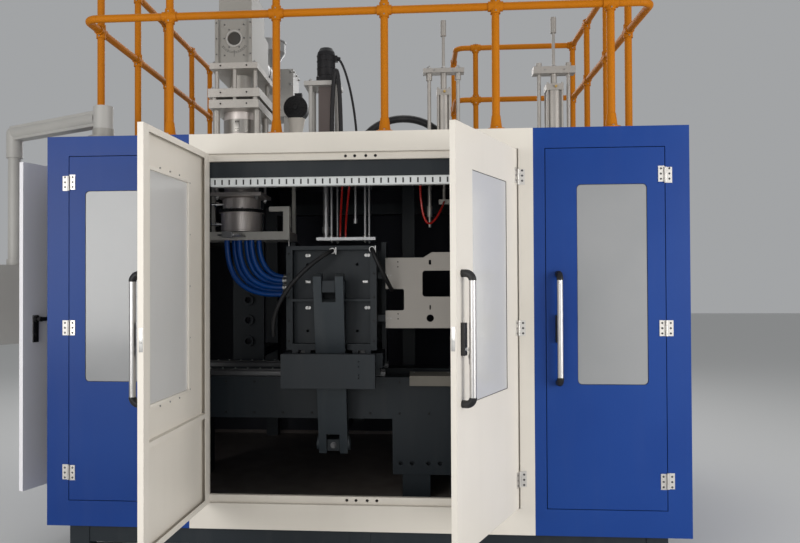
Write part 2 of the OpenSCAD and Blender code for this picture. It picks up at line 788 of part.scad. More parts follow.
module side_door() {
    x = [door_gap / 2, door_gap / 2 + side_leaf_w];
    y = [hinge_off, hinge_off + door_t];
    color(cream) at_side()
        difference() {
            union() {
                block(x, [y[0], y[0] + sheet_t], door_z);
                block(x, [y[1] - sheet_t, y[1]], door_z);
                ring_y(x, door_z, grow(x, -sheet_t), grow(door_z, -sheet_t), y);
                block([lever_x - 20, lever_x + 20], [y[0], y[1] + 9], [lever_z - 135, lever_z + 22]);
                for (zc = hinge_z) moving_leaf(zc);
            }
            bar_y(spindle_r + pin_gap, lever_x, [y[0] - 20, y[1] + 20], lever_z);
        }
}

// Lever handles inside and outside on one spindle
module side_door_lever() {
    inner = hinge_off + door_t + 9 + slide_gap;
    outer = hinge_off - slide_gap;
    color(black) at_side() {
        bar_y(spindle_r, lever_x, [outer - 40, inner + 40], lever_z);
        for (y = [[inner, inner + 12], [outer - 12, outer]]) bar_y(18, lever_x, y, lever_z);
        for (y = [[inner + 28, inner + 42], [outer - 42, outer - 28]]) {
            block([lever_x - 125, lever_x], y, [lever_z - 11, lever_z + 11]);
            bar_y(14, lever_x, y, lever_z);
            bar_y(11, lever_x - 125, y, lever_z);
        }
    }
}

// Control arm on its swivel pedestal, with the drop tube and the control panel
arm_dir = [cos(arm_angle), sin(arm_angle)];
elbow = arm_base + arm_l * arm_dir;
arm_pin_r = 22;

module arm_pedestal()
    color(light_grey) {
        translate([arm_base[0], arm_base[1], roof_z]) {
            cylinder(r = 85, h = 12);
            cylinder(r = 58, h = arm_z - 62 - roof_z);
            cylinder(r = arm_pin_r, h = arm_z + 40 - roof_z);
        }
    }

module control_arm() {
    color(light_grey) {
        difference() {
            union() {
                translate([arm_base[0], arm_base[1], 0]) rotate([0, 0, arm_angle]) {
                    bar_z(54, 0, 0, [arm_z - 62 + slide_gap, arm_z + 66]);
                    block([0, arm_l], [-34, 34], [arm_z - 44, arm_z + 44]);
                    bar_x(44, [40, arm_l], 0, arm_z);
                }
                translate([elbow[0], elbow[1], 0]) {
                    sphere_z(48, arm_z);
                    bar_z(48, 0, 0, [arm_z - 150, arm_z]);
                    bar_z(38, 0, 0, [panel_z[1] + 36, arm_z - 140]);
                }
            }
            bar_z(arm_pin_r + pin_gap, arm_base[0], arm_base[1], [arm_z - 70, arm_z + 40.5]);
        }
    }
}

module sphere_z(r, z) translate([0, 0, z]) sphere(r = r);

module control_panel() {
    d = 110;
    color(light_grey) translate([elbow[0], elbow[1], 0]) rotate([0, 0, arm_angle])
        difference() {
            union() {
                block([-d / 2, d / 2], [-panel_w / 2, panel_w / 2], panel_z);
                bar_z(46, 0, 0, [panel_z[1], panel_z[1] + 36 - slide_gap]);
            }
            // Recess for the screen and the row of keys, on the operator's side
            block([d / 2 - 4, d / 2 + 1], [-panel_w / 2 + 40, panel_w / 2 - 40],
                [panel_z[0] + 150, panel_z[1] - 40]);
        }
}

// Die head: box with its round port, stacked plates on pillars, and the barrel with the
// die below the roof
module head_box() {
    z = [roof_z + 586, roof_z + 866];
    x = [die_x - head_w / 2, die_x + head_w / 2];
    color(light_grey)
        difference() {
            union() {
                // Side plates proud of the front plate, then the upper box
                block(x, [head_front_y + 12, head_back_y], z);
                for (px = [[x[0], x[0] + 22], [x[1] - 22, x[1]]])
                    block(px, [head_front_y - 8, head_back_y], z);
                block(grow(x, -14), [head_front_y + 40, head_back_y - 60], [z[1], roof_z + 1080]);
            }
            bar_y(42, die_x, [head_front_y, head_front_y + 80], z[0] + 160);
        }
}

head_levels = [
    [roof_z + 548, roof_z + 586, 154, 40],
    [roof_z + 368, roof_z + 422, 166, 30],
    [roof_z + 298, roof_z + 351, 160, 20]
];

module head_plates() {
    pillar_r = 14;
    color(light_grey) {
        for (level = head_levels)
            block([die_x - level[2], die_x + level[2]],
                [head_front_y - 10, head_back_y + level[3]], [level[0], level[1]]);
        for (px = [-1, 1], py = [head_front_y + 60, head_back_y - 60])
            bar_z(pillar_r, die_x + px * 125, py, [head_levels[1][1], head_levels[0][0]]);
        bar_z(pillar_r, die_x, head_front_y + 24, [head_levels[1][1], head_levels[0][0]]);
        bar_z(62, die_x, station_y, [head_levels[1][1], head_levels[0][0]]);
        for (px = [-1, 0, 1], py = [head_front_y + 20, head_back_y - 20])
            bar_z(px == 0 ? 13 : 16, die_x + px * 132, py, [head_levels[2][1], head_levels[1][0]]);
        for (px = [-1, 1], py = [-1, 1])
            bar_z(22, die_x + px * 132, station_y + py * 132, [roof_z, head_levels[2][0]]);
    }
}

module die_body() {
    r = die_barrel_d / 2;
    flange_z = [roof_z - 254, roof_z - 232];
    neck_z = [roof_z - 333, roof_z - 263];
    ring_z = [roof_z - 479, roof_z - 354];
    color(light_grey)
        difference() {
            union() {
                bar_z(r, die_x, station_y, [flange_z[1], head_levels[2][0]]);
                // Hanging flange on four rods, neck, adjusting ring, collar and die ring
                block([die_x - 165, die_x + 165], [station_y - 165, station_y + 165], flange_z);
                for (sx = [-1, 1], sy = [-1, 1])
                    bar_z(10, die_x + sx * 130, station_y + sy * 130, [flange_z[1], under_deck]);
                bar_z(96, die_x, station_y, [neck_z[1] - 1, flange_z[0]]);
                bar_z(die_ring_d / 2 - 8, die_x, station_y, neck_z);
                bar_z(die_ring_d / 2 + 16, die_x, station_y, [ring_z[1], neck_z[0]]);
                bar_z(die_ring_d / 2, die_x, station_y, ring_z);
            }
            // Annular gap for the parison round the core
            difference() {
                bar_z(30, die_x, station_y, [ring_z[0] - 1, ring_z[0] + 60]);
                bar_z(24, die_x, station_y, [ring_z[0] - 2, ring_z[0] + 61]);
            }
        }
}

// Plate under the die that guides the parison knife, held from the portal beams
cutter_z = [roof_z - 540, roof_z - 488];

module parison_cutter() {
    x = [die_x - 233, die_x + 351];
    color(light_grey) {
        difference() {
            block(x, [station_y - 190, station_y + 110], cutter_z);
            bar_z(90, die_x, station_y, [cutter_z[0] - 1, cutter_z[1] + 1]);
            block([die_x - 70, die_x + 70], [station_y - 191, station_y + 52],
                [cutter_z[0] + 18, cutter_z[0] + 30]);
        }
        // Slotted bracket at the right, and the hangers to the portal beam
        ring_x([station_y - 190, station_y - 120], [cutter_z[0], roof_z - 330],
            [station_y - 172, station_y - 138], [cutter_z[1] + 20, roof_z - 350],
            [x[1] - 40, x[1]]);
        block([x[1] - 130, x[1]], [station_y - 190, station_y - 150], [roof_z - 360, roof_z - 330]);
        for (hx = [x[0] + 6, x[1] - 30])
            block([hx, hx + 24], [station_y + 86, station_y + 110],
                [cutter_z[1], under_deck - frame_beam]);
        for (hx = [x[0] + 6, x[1] - 30])
            block([hx, hx + 24], [station_y + 86, station_y + 220],
                [under_deck - frame_beam - 24, under_deck - frame_beam]);
    }
}

module cutter_knife()
    color(chrome) {
        block([die_x - 70 + slide_gap, die_x + 70 - slide_gap],
            [station_y - 350, station_y - 92],
            [cutter_z[0] + 18 + slide_gap, cutter_z[0] + 30 - slide_gap]);
        block([die_x - 30, die_x + 30], [station_y - 384, station_y - 349],
            [cutter_z[0] + 6, cutter_z[0] + 42]);
    }

// Extruder behind the head: barrel with heater bands, hopper, gearbox and motor
extruder_z = roof_z + 746;

module extruder_barrel()
    color(chrome) {
        bar_y(55, die_x, [head_back_y, 620], extruder_z);
        for (y = [-90, 40, 170, 300])
            bar_y(82, die_x, [y, y + 105], extruder_z);
    }

module extruder_drive() {
    fin_count = 12;
    color(light_grey) {
        difference() {
            block([die_x - 170, die_x + 170], [620, 900], [extruder_z - 230, extruder_z + 150]);
            bar_y(30, die_x, [860, 901], extruder_z);
        }
        bar_y(100, die_x, [900, 930], extruder_z);
        bar_y(112, die_x, [930, 1200], extruder_z);
        for (i = [0:fin_count - 1])
            translate([die_x, 0, extruder_z]) rotate([0, i * 360 / fin_count, 0])
                block([-4, 4], [945, 1185], [100, 126]);
        bar_y(122, die_x, [1200, 1240], extruder_z);
        // Welded stand down to the roof
        for (x = [die_x - 150, die_x + 90], y = [640, 820])
            block([x, x + 60], [y, y + 60], [roof_z, extruder_z - 230]);
        block([die_x - 150, die_x + 150], [640, 880], [roof_z, roof_z + 12]);
    }
}

module hopper() {
    z = extruder_z + 82;
    color(chrome) {
        translate([die_x, 480, 0]) {
            difference() {
                block([-62, 62], [-60, 60], [extruder_z + 10, z + 30]);
                bar_y(55.2, 0, [-61, 61], extruder_z);
            }
            translate([0, 0, z + 30]) cylinder(r1 = 50, r2 = 130, h = 120);
            bar_z(130, 0, 0, [z + 150, z + 226]);
            bar_z(136, 0, 0, [z + 226, z + 236]);
        }
    }
}

// Cooling blower on its conical duct, beside the head
module cooling_blower() {
    x = die_x + 315;
    y = -100;
    z = roof_z + 405;
    color(black) {
        bar_y(84, x, [y - 45, y + 45], z);
        bar_y(42, x, [y + 45, y + 120], z);
        block([x - 40, x + 40], [y - 34, y + 34], [z - 90, z]);
        block([x - 8, x + 42], [y - 30, y + 30], [z, z + 104]);
    }
    color(cream) translate([x, y, roof_z]) {
        cylinder(r = 70, h = 20);
        cylinder(r = 46, h = 300);
        translate([0, 0, 250 + sheet_t]) cylinder(r1 = 46, r2 = 62, h = 80);
    }
}

// Blow unit: columns and plate on the roof, screw housing, servo motor and the pin carrier
screw_rod_r = 18;
screw_top = roof_z + 486;

module blow_unit_frame()
    color(light_grey) {
        for (sx = [-92, 76], sy = [-1, 1])
            bar_z(13, screw_x + sx, station_y + sy * 80, [roof_z, screw_top - 28]);
        block([screw_x - 132, screw_x + 99], [station_y - 110, station_y + 110],
            [screw_top - 28, screw_top]);
    }

// Screw housing between the roof and the plate, and the motor on the plate
module blow_servo()
    color(black)
        translate([screw_x, station_y, 0]) {
            difference() {
                block([-46, 46], [-50, 50], [roof_z, screw_top - 28]);
                bar_z(screw_rod_r + 0.3, 0, 0, [roof_z - 1, screw_top - 60]);
            }
            block([-58, 58], [-58, 58], [screw_top, screw_top + 40]);
            bar_z(60, 0, 0, [screw_top, screw_top + 190]);
            translate([0, 0, screw_top + 190]) cylinder(r1 = 60, r2 = 56, h = 20);
            translate([0, 0, screw_top + 210]) cylinder(r1 = 56, r2 = 42, h = 25);
            block([44, 76], [-20, 20], [screw_top + 150, screw_top + 186]);
        }

crosshead_rod_r = 12;
blow_rod_r = 9;
blow_rods = [[-95, -60], [-70, 60], [123, -60], [141, 60]];
blow_plate_z = [1798, 1818];

module blow_pin() {
    plate_z = blow_plate_z;
    yoke_z = [roof_z - 190, roof_z - 162];
    color(chrome) {
        block([blow_x - 191, blow_x + 191], [station_y - 90, station_y + 90], plate_z);
        for (rod = blow_rods)
            bar_z(blow_rod_r, blow_x + rod[0], station_y + rod[1], [plate_z[1], yoke_z[0]]);
        // Yoke that ties the rods to the screw rod
        block([screw_x - 30, blow_x + 160], [station_y - 76, station_y + 76], yoke_z);
        bar_z(screw_rod_r, screw_x, station_y, [yoke_z[1], roof_z + 260]);
        // Blow mandrel with its stripper collar and nozzle
        bar_z(20, screw_x + 1, station_y - 40, [plate_z[1], yoke_z[0]]);
        bar_z(26, screw_x + 1, station_y - 40, [plate_z[1] + 30, plate_z[1] + 70]);
        bar_z(9, blow_x + 60, station_y - 60, [plate_z[1] + 90, yoke_z[0]]);
        bar_z(14, blow_x + 60, station_y - 60, [plate_z[1] + 90, plate_z[1] + 120]);
    }
}

// Pneumatic cylinder on the roof, with its tie-rod caps
module roof_cylinder(x, d, top) {
    cap = d * 0.56;
    translate([x, station_y, 0]) {
        difference() {
            union() {
                bar_z(d / 2, 0, 0, [roof_z + 20, top]);
                block([-cap, cap], [-cap, cap], [roof_z, roof_z + 40]);
                block([-cap, cap], [-cap, cap], [top - 40, top]);
                for (sx = [-1, 1], sy = [-1, 1])
                    bar_z(6, sx * (cap - 8), sy * (cap - 8), [roof_z, top + 10]);
            }
            bar_z(ram_r + 0.3, 0, 0, [roof_z - 10, top + 1]);
        }
    }
}

// Crosshead that the cylinder lifts, with its two columns through the roof
crosshead_span = 93;
piston_rod_r = 10;
ram_r = 20;

module crosshead(x, plate_z, column_r, low) {
    translate([x, station_y, 0]) {
        block([-132, 132], [-40, 40], plate_z);
        for (side = [-1, 1]) {
            bar_z(column_r, side * crosshead_span, 0, [low, plate_z[0]]);
            bar_z(11, side * crosshead_span, 0, [plate_z[1], plate_z[1] + 18]);
        }
        bar_z(piston_rod_r, 0, 0, [roof_z - 280, roof_z + 784]);
        bar_z(ram_r, 0, 0, [roof_z + 60, plate_z[0]]);
        bar_z(18.5, 0, 0, [roof_z + 784, roof_z + 884]);
    }
}

module deflash_cylinder() color(light_grey) roof_cylinder(deflash_x, deflash_d, roof_z + 432);
module ejector_cylinder() color(light_grey) roof_cylinder(eject_x, eject_d, roof_z + 446);

module deflash_crosshead()
    color(light_grey) {
        low = roof_z - 330;
        crosshead(deflash_x, [roof_z + 539, roof_z + 567], crosshead_rod_r, low);
        translate([deflash_x, station_y, 0]) {
            // Punch sleeve on the left column, and the foot on the piston rod
            bar_z(18, -crosshead_span, 0, [low - 60, low + 10]);
            bar_z(9, -crosshead_span, 0, [low - 128, low - 59]);
            block([-34, 34], [-20, 20], [roof_z - 310, roof_z - 280]);
            // Clamping lugs under the plate's ends
            for (side = [-1, 1]) bar_z(20, side * crosshead_span, 0, [roof_z + 496, roof_z + 540]);
        }
    }

module ejector_crosshead()
    color(light_grey) {
        crosshead(eject_x, [roof_z + 516, roof_z + 561], crosshead_rod_r, roof_z - 330);
        translate([eject_x, station_y, 0]) {
            for (side = [-1, 1])
                bar_z(18, side * crosshead_span, 0, [roof_z + 561, roof_z + 590]);
            block([-120, 120], [-30, 30], [roof_z - 350, roof_z - 330]);
            block([-20, 20], [-20, 20], [roof_z - 331, roof_z - 280]);
        }
    }

// Clamp carriage: trucks on the rails, base plate, crossbar with the pivot cheeks and shaft
module carriage() {
    base_x = [clamp_x - 300, clamp_x + 300];
    base_y = [-780, rear_platen_y + 10];
    cheek_x = rocker_w / 2 + 6;
    shaft_x = cheek_x + cheek_t;
    color(steel_grey)
        difference() {
            union() {
                difference() {
                    block(base_x, base_y, carriage_z);
                    block(grow([clamp_x, clamp_x], column_w / 2 + 10),
                        [rear_inner, base_y[1] + 1], grow(carriage_z, 1));
                }
                for (y = rail_y, side = [-1, 1])
                    difference() {
                        block([clamp_x + side * 200 - 80, clamp_x + side * 200 + 80],
                            [y - 55, y + 55], [bed_top + 8, carriage_z[0]]);
                        block([clamp_x - 300, clamp_x + 300],
                            [y - rail_w / 2 - slide_gap, y + rail_w / 2 + slide_gap],
                            [bed_top, bed_top + rail_h + slide_gap]);
                    }
                block([clamp_x - platen_w / 2, clamp_x + platen_w / 2], crossbar_y, crossbar_z);
                for (side = [-1, 1])
                    block(side > 0 ? [clamp_x + cheek_x, clamp_x + shaft_x]
                            : [clamp_x - shaft_x, clamp_x - cheek_x],
                        [crossbar_y[1] - 1, base_y[0] + 1], [930, carriage_z[1]]);
                // Uprights beside the platens
                for (side = [-1, 1])
                    difference() {
                        block(side > 0 ? [clamp_x + 280, clamp_x + 310] : [clamp_x - 310, clamp_x - 280],
                            [-470, -300], [carriage_z[0], platen_z[1] + 40]);
                        bar_x(40, [clamp_x - 320, clamp_x + 320], -385, platen_z[1] - 120);
                    }
                bar_x(pivot_d / 2, [clamp_x - shaft_x - 8, clamp_x + shaft_x + 8], pivot_y, pivot_z);
            }
            for (dz = [-40, -21, 26, 54])
                bar_y(4, clamp_x + 178, [crossbar_y[0] - 1, crossbar_y[0] + 20], pivot_z + dz);
        }
}

module platen_slideways()
    color(chrome)
        for (side = [-1, 1])
            block([clamp_x + side * slideway_x - slideway_w / 2,
                    clamp_x + side * slideway_x + slideway_w / 2],
                [-776, rear_platen_y + 6], [carriage_z[1], carriage_z[1] + slideway_h]);

// Platen: a drilled plate stiffened by ribs. inner is the face towards the mould and dir
// is the direction from the plate to its ribs.
mould_hole_d = 18;
mould_dx = 300;
mould_dz = 400;
plate_t = 35;

module ribbed_platen(inner, dir) {
    x = [clamp_x - platen_w / 2, clamp_x + platen_w / 2];
    plate_y = dir < 0 ? [inner - plate_t, inner] : [inner, inner + plate_t];
    full_y = dir < 0 ? [inner - platen_t, inner] : [inner, inner + platen_t];
    mid_z = (platen_z[0] + platen_z[1]) / 2;
    rib = 38;
    difference() {
        union() {
            block(x, plate_y, platen_z);
            ring_y(x, platen_z, grow(x, -rib), [platen_z[0] + rib, platen_z[1] - 24], full_y);
            for (side = [-1, 1]) {
                cx = clamp_x + side * 72;
                block([cx - 10, cx + 10], full_y, [platen_z[0], upper_pin_z + 40]);
            }
            block(x, full_y, [mid_z - 21, mid_z - 5]);
            for (side = [-1, 1]) {
                sx = clamp_x + side * slideway_x;
                block([sx - 55, sx + 55], full_y,
                    [carriage_z[1] + slide_gap, platen_z[0] + 1]);
            }
        }
        for (side = [-1, 1]) {
            sx = clamp_x + side * slideway_x;
            block([sx - slideway_w / 2 - slide_gap, sx + slideway_w / 2 + slide_gap],
                grow(full_y, 1), [carriage_z[1], platen_z[0] + slide_gap]);
        }
        for (sx = [-1, 1], sz = [-1, 1])
            bar_y(mould_hole_d / 2, clamp_x + sx * mould_dx / 2, grow(full_y, 1),
                mid_z + sz * mould_dz / 2);
    }
}

front_inner = front_platen_y + platen_t;
rear_inner = rear_platen_y - platen_t;
upper_pin_y = pivot_y - rocker_swing;
lower_pin_y = pivot_y + rocker_swing;
lug_w = fork_slot - 6;
link_pin_l = rocker_w + 16;

// Lug with its cross pin, which takes one end of the rocker lever
module pin_lug(y0, y1, pin_y, pin_z) {
    block([clamp_x - lug_w / 2, clamp_x + lug_w / 2], [y0, y1], [pin_z - 34, pin_z + 34]);
    bar_x(rocker_pin_d / 2, [clamp_x - link_pin_l / 2, clamp_x + link_pin_l / 2], pin_y, pin_z);
}

module front_platen()
    color(steel_grey) {
        difference() {
            ribbed_platen(front_inner, -1);
            block(grow([clamp_x, clamp_x], rocker_w / 2 + 8),
                [front_platen_y - 1, front_platen_y + 50], [carriage_z[1], pivot_z + 275]);
        }
        pin_lug(upper_pin_y - 34, front_platen_y + 70, upper_pin_y, upper_pin_z);
    }

// Rear platen with the column and the drawbar that reach the lower end of the rocker lever
module rear_platen() {
    back = rear_inner + platen_t;
    column_y = [back + 145, back + 225];
    color(steel_grey) {
        ribbed_platen(rear_inner, 1);
        for (side = [-1, 1])
            block(side > 0 ? [clamp_x + 44, clamp_x + 84] : [clamp_x - 84, clamp_x - 44],
                [back - 1, column_y[0] + 1], [platen_z[0] + 60, platen_z[0] + 420]);
        block(grow([clamp_x, clamp_x], column_w / 2), column_y,
            [lower_pin_z - 34, platen_z[0] + 420]);
        pin_lug(lower_pin_y - 34, column_y[0] + 1, lower_pin_y, lower_pin_z);
    }
}

// Rocker lever: forked at both ends, with slots that let the end pins slide as it swings
module rocker_lever() {
    end_l = rocker_reach + 82;
    slot_l = rocker_reach * (1 / cos(rocker_tilt) - 1) + 5;
    slot_r = rocker_pin_d / 2 + 1.2;
    fork_l = 140;
    waist_w = rocker_w;
    color(steel_grey)
        translate([clamp_x, pivot_y, pivot_z]) rotate([rocker_tilt, 0, 0])
            difference() {
                union() {
                    block([-waist_w / 2, waist_w / 2], [-rocker_t / 2, rocker_t / 2],
                        [-end_l + 30, end_l]);
                    bar_x(rocker_t / 2 + 6, [-waist_w / 2, waist_w / 2], 0, 0);
                    // Bosses round the lower pin
                    bar_x(rocker_t / 2, [-waist_w / 2 - 10, waist_w / 2 + 10], 0, -rocker_reach);
                }
                bar_x(pivot_d / 2 + pin_gap, [-waist_w, waist_w], 0, 0);
                for (end = [-1, 1]) {
                    block([-fork_slot / 2, fork_slot / 2], [-rocker_t, rocker_t],
                        end > 0 ? [rocker_reach - 70, end_l + 1] : [-end_l - 1, 70 - rocker_reach]);
                    hull_free_slot(end * rocker_reach, slot_l, slot_r, waist_w + 30, end);
                }
            }
}

// Long hole across the lever, from two bores and the block between them
module hull_free_slot(z, l, r, w, end) {
    z_far = z + end * l;
    bar_x(r, [-w / 2, w / 2], 0, z - end * 3);
    bar_x(r, [-w / 2, w / 2], 0, z_far);
    block([-w / 2, w / 2], [-r, r], end > 0 ? [z - 3, z_far] : [z_far, z + 3]);
}

// White mask plate on the front platen's right flank, with its cut-outs
mask_y = [-756, -750];
mask_x = [120, 720];

module mask_plate() {
    z = [platen_z[0] + 124, platen_z[1] - 70];
    flank = clamp_x + platen_w / 2;
    color([0.88, 0.86, 0.84]) {
        difference() {
            union() {
                block(mask_x, mask_y, z);
                // Raised right part with its sloping shoulder
                translate([0, mask_y[1], z[1] - 1]) rotate([90, 0, 0])
                    linear_extrude(mask_y[1] - mask_y[0])
                        polygon([[346, 0], [mask_x[1], 0], [mask_x[1], 33], [400, 33], [348, 1]]);
            }
            rounded_y([mask_x[0] - 20, 232], [z[0] + 107, z[0] + 237], 12, grow(mask_y, 1));
            rounded_y([343, 626], [z[0] + 190, z[0] + 347], 18, grow(mask_y, 1));
            for (hz = [56, 86, 371, 401]) bar_y(4, 195, grow(mask_y, 1), z[0] + hz);
            for (hx = [389, 574]) {
                bar_y(22, hx, grow(mask_y, 1), z[0] + 60);
                block([hx - 7, hx + 7], grow(mask_y, 1), [z[0] + 384, z[0] + 412]);
            }
            block([385, 393], grow(mask_y, 1), [z[0] + 112, z[0] + 138]);
        }
        // Brackets on the platen's inner face that hold the plate from behind
        for (az = [z[0] + 40, z[0] + 300]) {
            block([flank - 7, flank], [front_inner, mask_y[1] + 10], [az, az + 40]);
            block([flank - 7, mask_x[0] + 40], [mask_y[1], mask_y[1] + 10], [az, az + 40]);
        }
    }
}

module takeout_tray()
    color([0.70, 0.66, 0.52]) {
        block([262, 730], [bed_front_y[0] - 60, bed_front_y[1]], [bed_top, bed_top + 16]);
        block([262, 730], [bed_front_y[0] - 60, bed_front_y[0] - 44], [bed_top - 44, bed_top + 16]);
    }

// Hoses. Each row is four guide points of one smooth run, the hose's diameter and its number
// of steps.
roof_hose_runs = [
    [[[520, -320, roof_z + hose_gap], [520, -320, roof_z + 364], [-80, -320, roof_z + 364],
      [-80, -320, roof_z + hose_gap]], 50, 12],
    [[[screw_x + 50, station_y - 132, roof_z + hose_gap], [screw_x + 50, station_y - 132, roof_z + 724],
      [screw_x + 110, station_y - 132, roof_z + 724],
      [screw_x + 110, station_y - 132, roof_z + hose_gap]], 28, 10],
    [[[screw_x + 76 + hose_gap, station_y, screw_top + 168], [screw_x + 114, station_y, screw_top + 168],
      [screw_x + 204, station_y, roof_z + 360], [screw_x + 204, station_y, roof_z + hose_gap]], 16, 8]
];
// The blue hoses nest: each next one starts further right and hangs a little higher
water_hose_runs = [
    for (i = [0:5], y = station_y - 150 + 36 * (i % 2))
        [[[die_x - 60 + 40 * i, y, cutter_z[0] - hose_gap],
          [die_x - 60 + 40 * i, y, cutter_z[0] - 255 + 20 * i],
          [die_x + 45 + 34 * i, y, cutter_z[0] - 368 + 23 * i],
          [die_x + 330, y, cutter_z[0] - 344 + 22 * i]], 34, 5]
];
red_top = under_deck - frame_beam - hose_gap;
air_hose_runs = [
    [[[-150, -650, red_top], [-150, -650, 2080], [-185, -470, 1990],
      [-185, -470, blow_plate_z[1] + hose_gap]], 13, 5],
    [[[-105, -650, red_top], [-105, -650, 2080], [-150, -470, 1990],
      [-150, -470, blow_plate_z[1] + hose_gap]], 13, 5],
    [[[330, -640, red_top], [330, -640, 1600], [deflash_x, -600, 2045],
      [deflash_x, station_y - 20 - hose_gap, 2045]], 14, 7]
];
// Two hoses that leave the platen's face near its upper edge and drop past its flanks
platen_hose_runs = [
    [[[clamp_x + 8, front_platen_y - hose_gap, platen_z[1] - 30],
      [clamp_x + 8, front_platen_y - 115, platen_z[1] - 30],
      [clamp_x - 362, front_platen_y - 115, platen_z[1] - 246],
      [clamp_x - 342, front_platen_y - 30, platen_z[1] - 536]], 26, 9],
    [[[clamp_x + 244, front_platen_y - hose_gap, platen_z[1] - 22],
      [clamp_x + 244, front_platen_y - 90, platen_z[1] - 22],
      [clamp_x + 358, mask_y[0] - 144, platen_z[1] - 266],
      [clamp_x + 358, mask_y[0] - hose_gap, platen_z[1] - 266]], 26, 8]
];

module roof_hoses() color(black) for (run = roof_hose_runs) hose(run[0], run[1], run[2]);

module water_hoses()
    color([0.05, 0.28, 0.70]) for (run = water_hose_runs) hose(run[0], run[1], run[2]);

module air_hoses()
    color([0.75, 0.10, 0.08]) for (run = air_hose_runs) hose(run[0], run[1], run[2]);

module platen_hoses() color(black) for (run = platen_hose_runs) hose(run[0], run[1], run[2]);

base_frame();
floor_tray();
bed_frame();
carriage_rails();
portal_frame();
left_front_panel();
left_side_panel();
right_front_panel();
right_side_panel();
rear_panels();
centre_front_panel();
roof_deck();
cable_duct();
guard_posts();
guard_rails();
hinge_leaves();
arm_pedestal();
control_arm();
control_panel();
head_box();
head_plates();
die_body();
parison_cutter();
cutter_knife();
extruder_barrel();
extruder_drive();
hopper();
cooling_blower();
blow_unit_frame();
blow_servo();
blow_pin();
deflash_cylinder();
deflash_crosshead();
ejector_cylinder();
ejector_crosshead();
carriage();
platen_slideways();
front_platen();
rear_platen();
rocker_lever();
mask_plate();
takeout_tray();
roof_hoses();
water_hoses();
air_hoses();
platen_hoses();
left_white_door();
left_white_window();
left_white_handle();
right_white_door();
right_white_window();
right_white_handle();
left_blue_door();
left_blue_window();
left_blue_handle();
right_blue_door();
right_blue_window();
right_blue_handle();
side_door();
side_door_lever();
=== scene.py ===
"""Looks of a shuttle blow moulding machine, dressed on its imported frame.

All places are in the machine's own frame: X to the right, Y to the back, Z up, with the
origin on the floor in the middle of the anchor holes. Sizes are written in millimetres and
turned to metres by mm(). Colours are linear.
"""
import logging
import math
from dataclasses import dataclass, field
from enum import Enum
from typing import Callable, Iterable, Sequence

import bmesh
import bpy
from mathutils import Matrix, Vector


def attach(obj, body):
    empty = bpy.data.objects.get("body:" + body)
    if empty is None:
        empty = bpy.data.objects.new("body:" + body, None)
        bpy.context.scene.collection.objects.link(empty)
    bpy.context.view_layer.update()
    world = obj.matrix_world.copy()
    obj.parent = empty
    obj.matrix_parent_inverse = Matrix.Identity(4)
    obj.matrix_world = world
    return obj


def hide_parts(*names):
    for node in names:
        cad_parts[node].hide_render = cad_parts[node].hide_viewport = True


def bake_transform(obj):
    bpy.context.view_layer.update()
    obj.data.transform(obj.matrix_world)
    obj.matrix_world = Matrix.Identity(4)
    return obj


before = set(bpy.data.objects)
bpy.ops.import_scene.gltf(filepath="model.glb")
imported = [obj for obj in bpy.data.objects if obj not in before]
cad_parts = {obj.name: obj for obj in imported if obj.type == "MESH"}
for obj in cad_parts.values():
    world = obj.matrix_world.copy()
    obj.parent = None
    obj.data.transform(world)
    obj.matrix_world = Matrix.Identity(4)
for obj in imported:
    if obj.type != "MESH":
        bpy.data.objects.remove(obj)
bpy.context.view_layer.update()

LOG = logging.getLogger("blow_moulder")
ROOT = "machine"
Point = tuple[float, float, float]
RGB = tuple[float, float, float]

UP, DOWN = Vector((0, 0, 1)), Vector((0, 0, -1))
FRONT, BACK = Vector((0, -1, 0)), Vector((0, 1, 0))
SIDES = (-1, 1)

# Places shared with the frame, in millimetres
ROOF_Z = 2340.0
FRONT_Y = -1300.0
BACK_Y = 1300.0
SIDE_X = 1725.0
STATION_Y = -420.0
DIE_X = -845.0
BLOW_X = -145.0
SCREW_X = BLOW_X - 134.0
DEFLASH_X = 487.0
EJECT_X = 1190.0
PORT_Z = ROOF_Z + 746.0
CLAMP_X = -198.0
PIVOT_Y, PIVOT_Z = -860.0, 1025.0
PLATEN_Y, PLATEN_TOP = -870.0, 1746.0
MASK_Y = -756.0
CUTTER_Z = 1800.0
BLOW_PLATE_Z = 1818.0
GAP = 0.3


def mm(*values: float) -> Vector:
    """Turns a place in millimetres into metres."""
    return Vector(values) / 1000.0


def arc(radius: float, count: int, start: float = 0.0, step: float | None = None) -> list[tuple[float, float]]:
    """Makes points at even steps round a circle.

    Args:
        radius: The circle's radius.
        count: The number of points.
        start: The first point's angle, in degrees.
        step: The angle between points; the points fill the whole circle without it.

    Returns:
        The points' two coordinates.
    """
    turn = 360.0 / count if step is None else step
    angles = [math.radians(start + turn * k) for k in range(count)]
    return [(radius * math.cos(a), radius * math.sin(a)) for a in angles]


class Finish(Enum):
    """Each finish of the machine, with the record's material slot that it belongs to."""

    BLUE_PAINT = "blue_paint"
    CREAM_PAINT = "cream_paint"
    FRAME_PAINT = "frame_paint"
    GREY_PAINT = "grey_paint"
    ORANGE_PAINT = "orange_paint"
    TRAY_PAINT = "tray_paint"
    STEEL = "steel"
    CHROME = "chrome"
    CAST = "cast"
    BLACK_PLASTIC = "black_plastic"
    WHITE_PLASTIC = "white_plastic"
    HOSE_BLACK = "hose_black"
    HOSE_COLOUR = "hose_colour"


# --------------------------------------------------------------------------- shader graphs


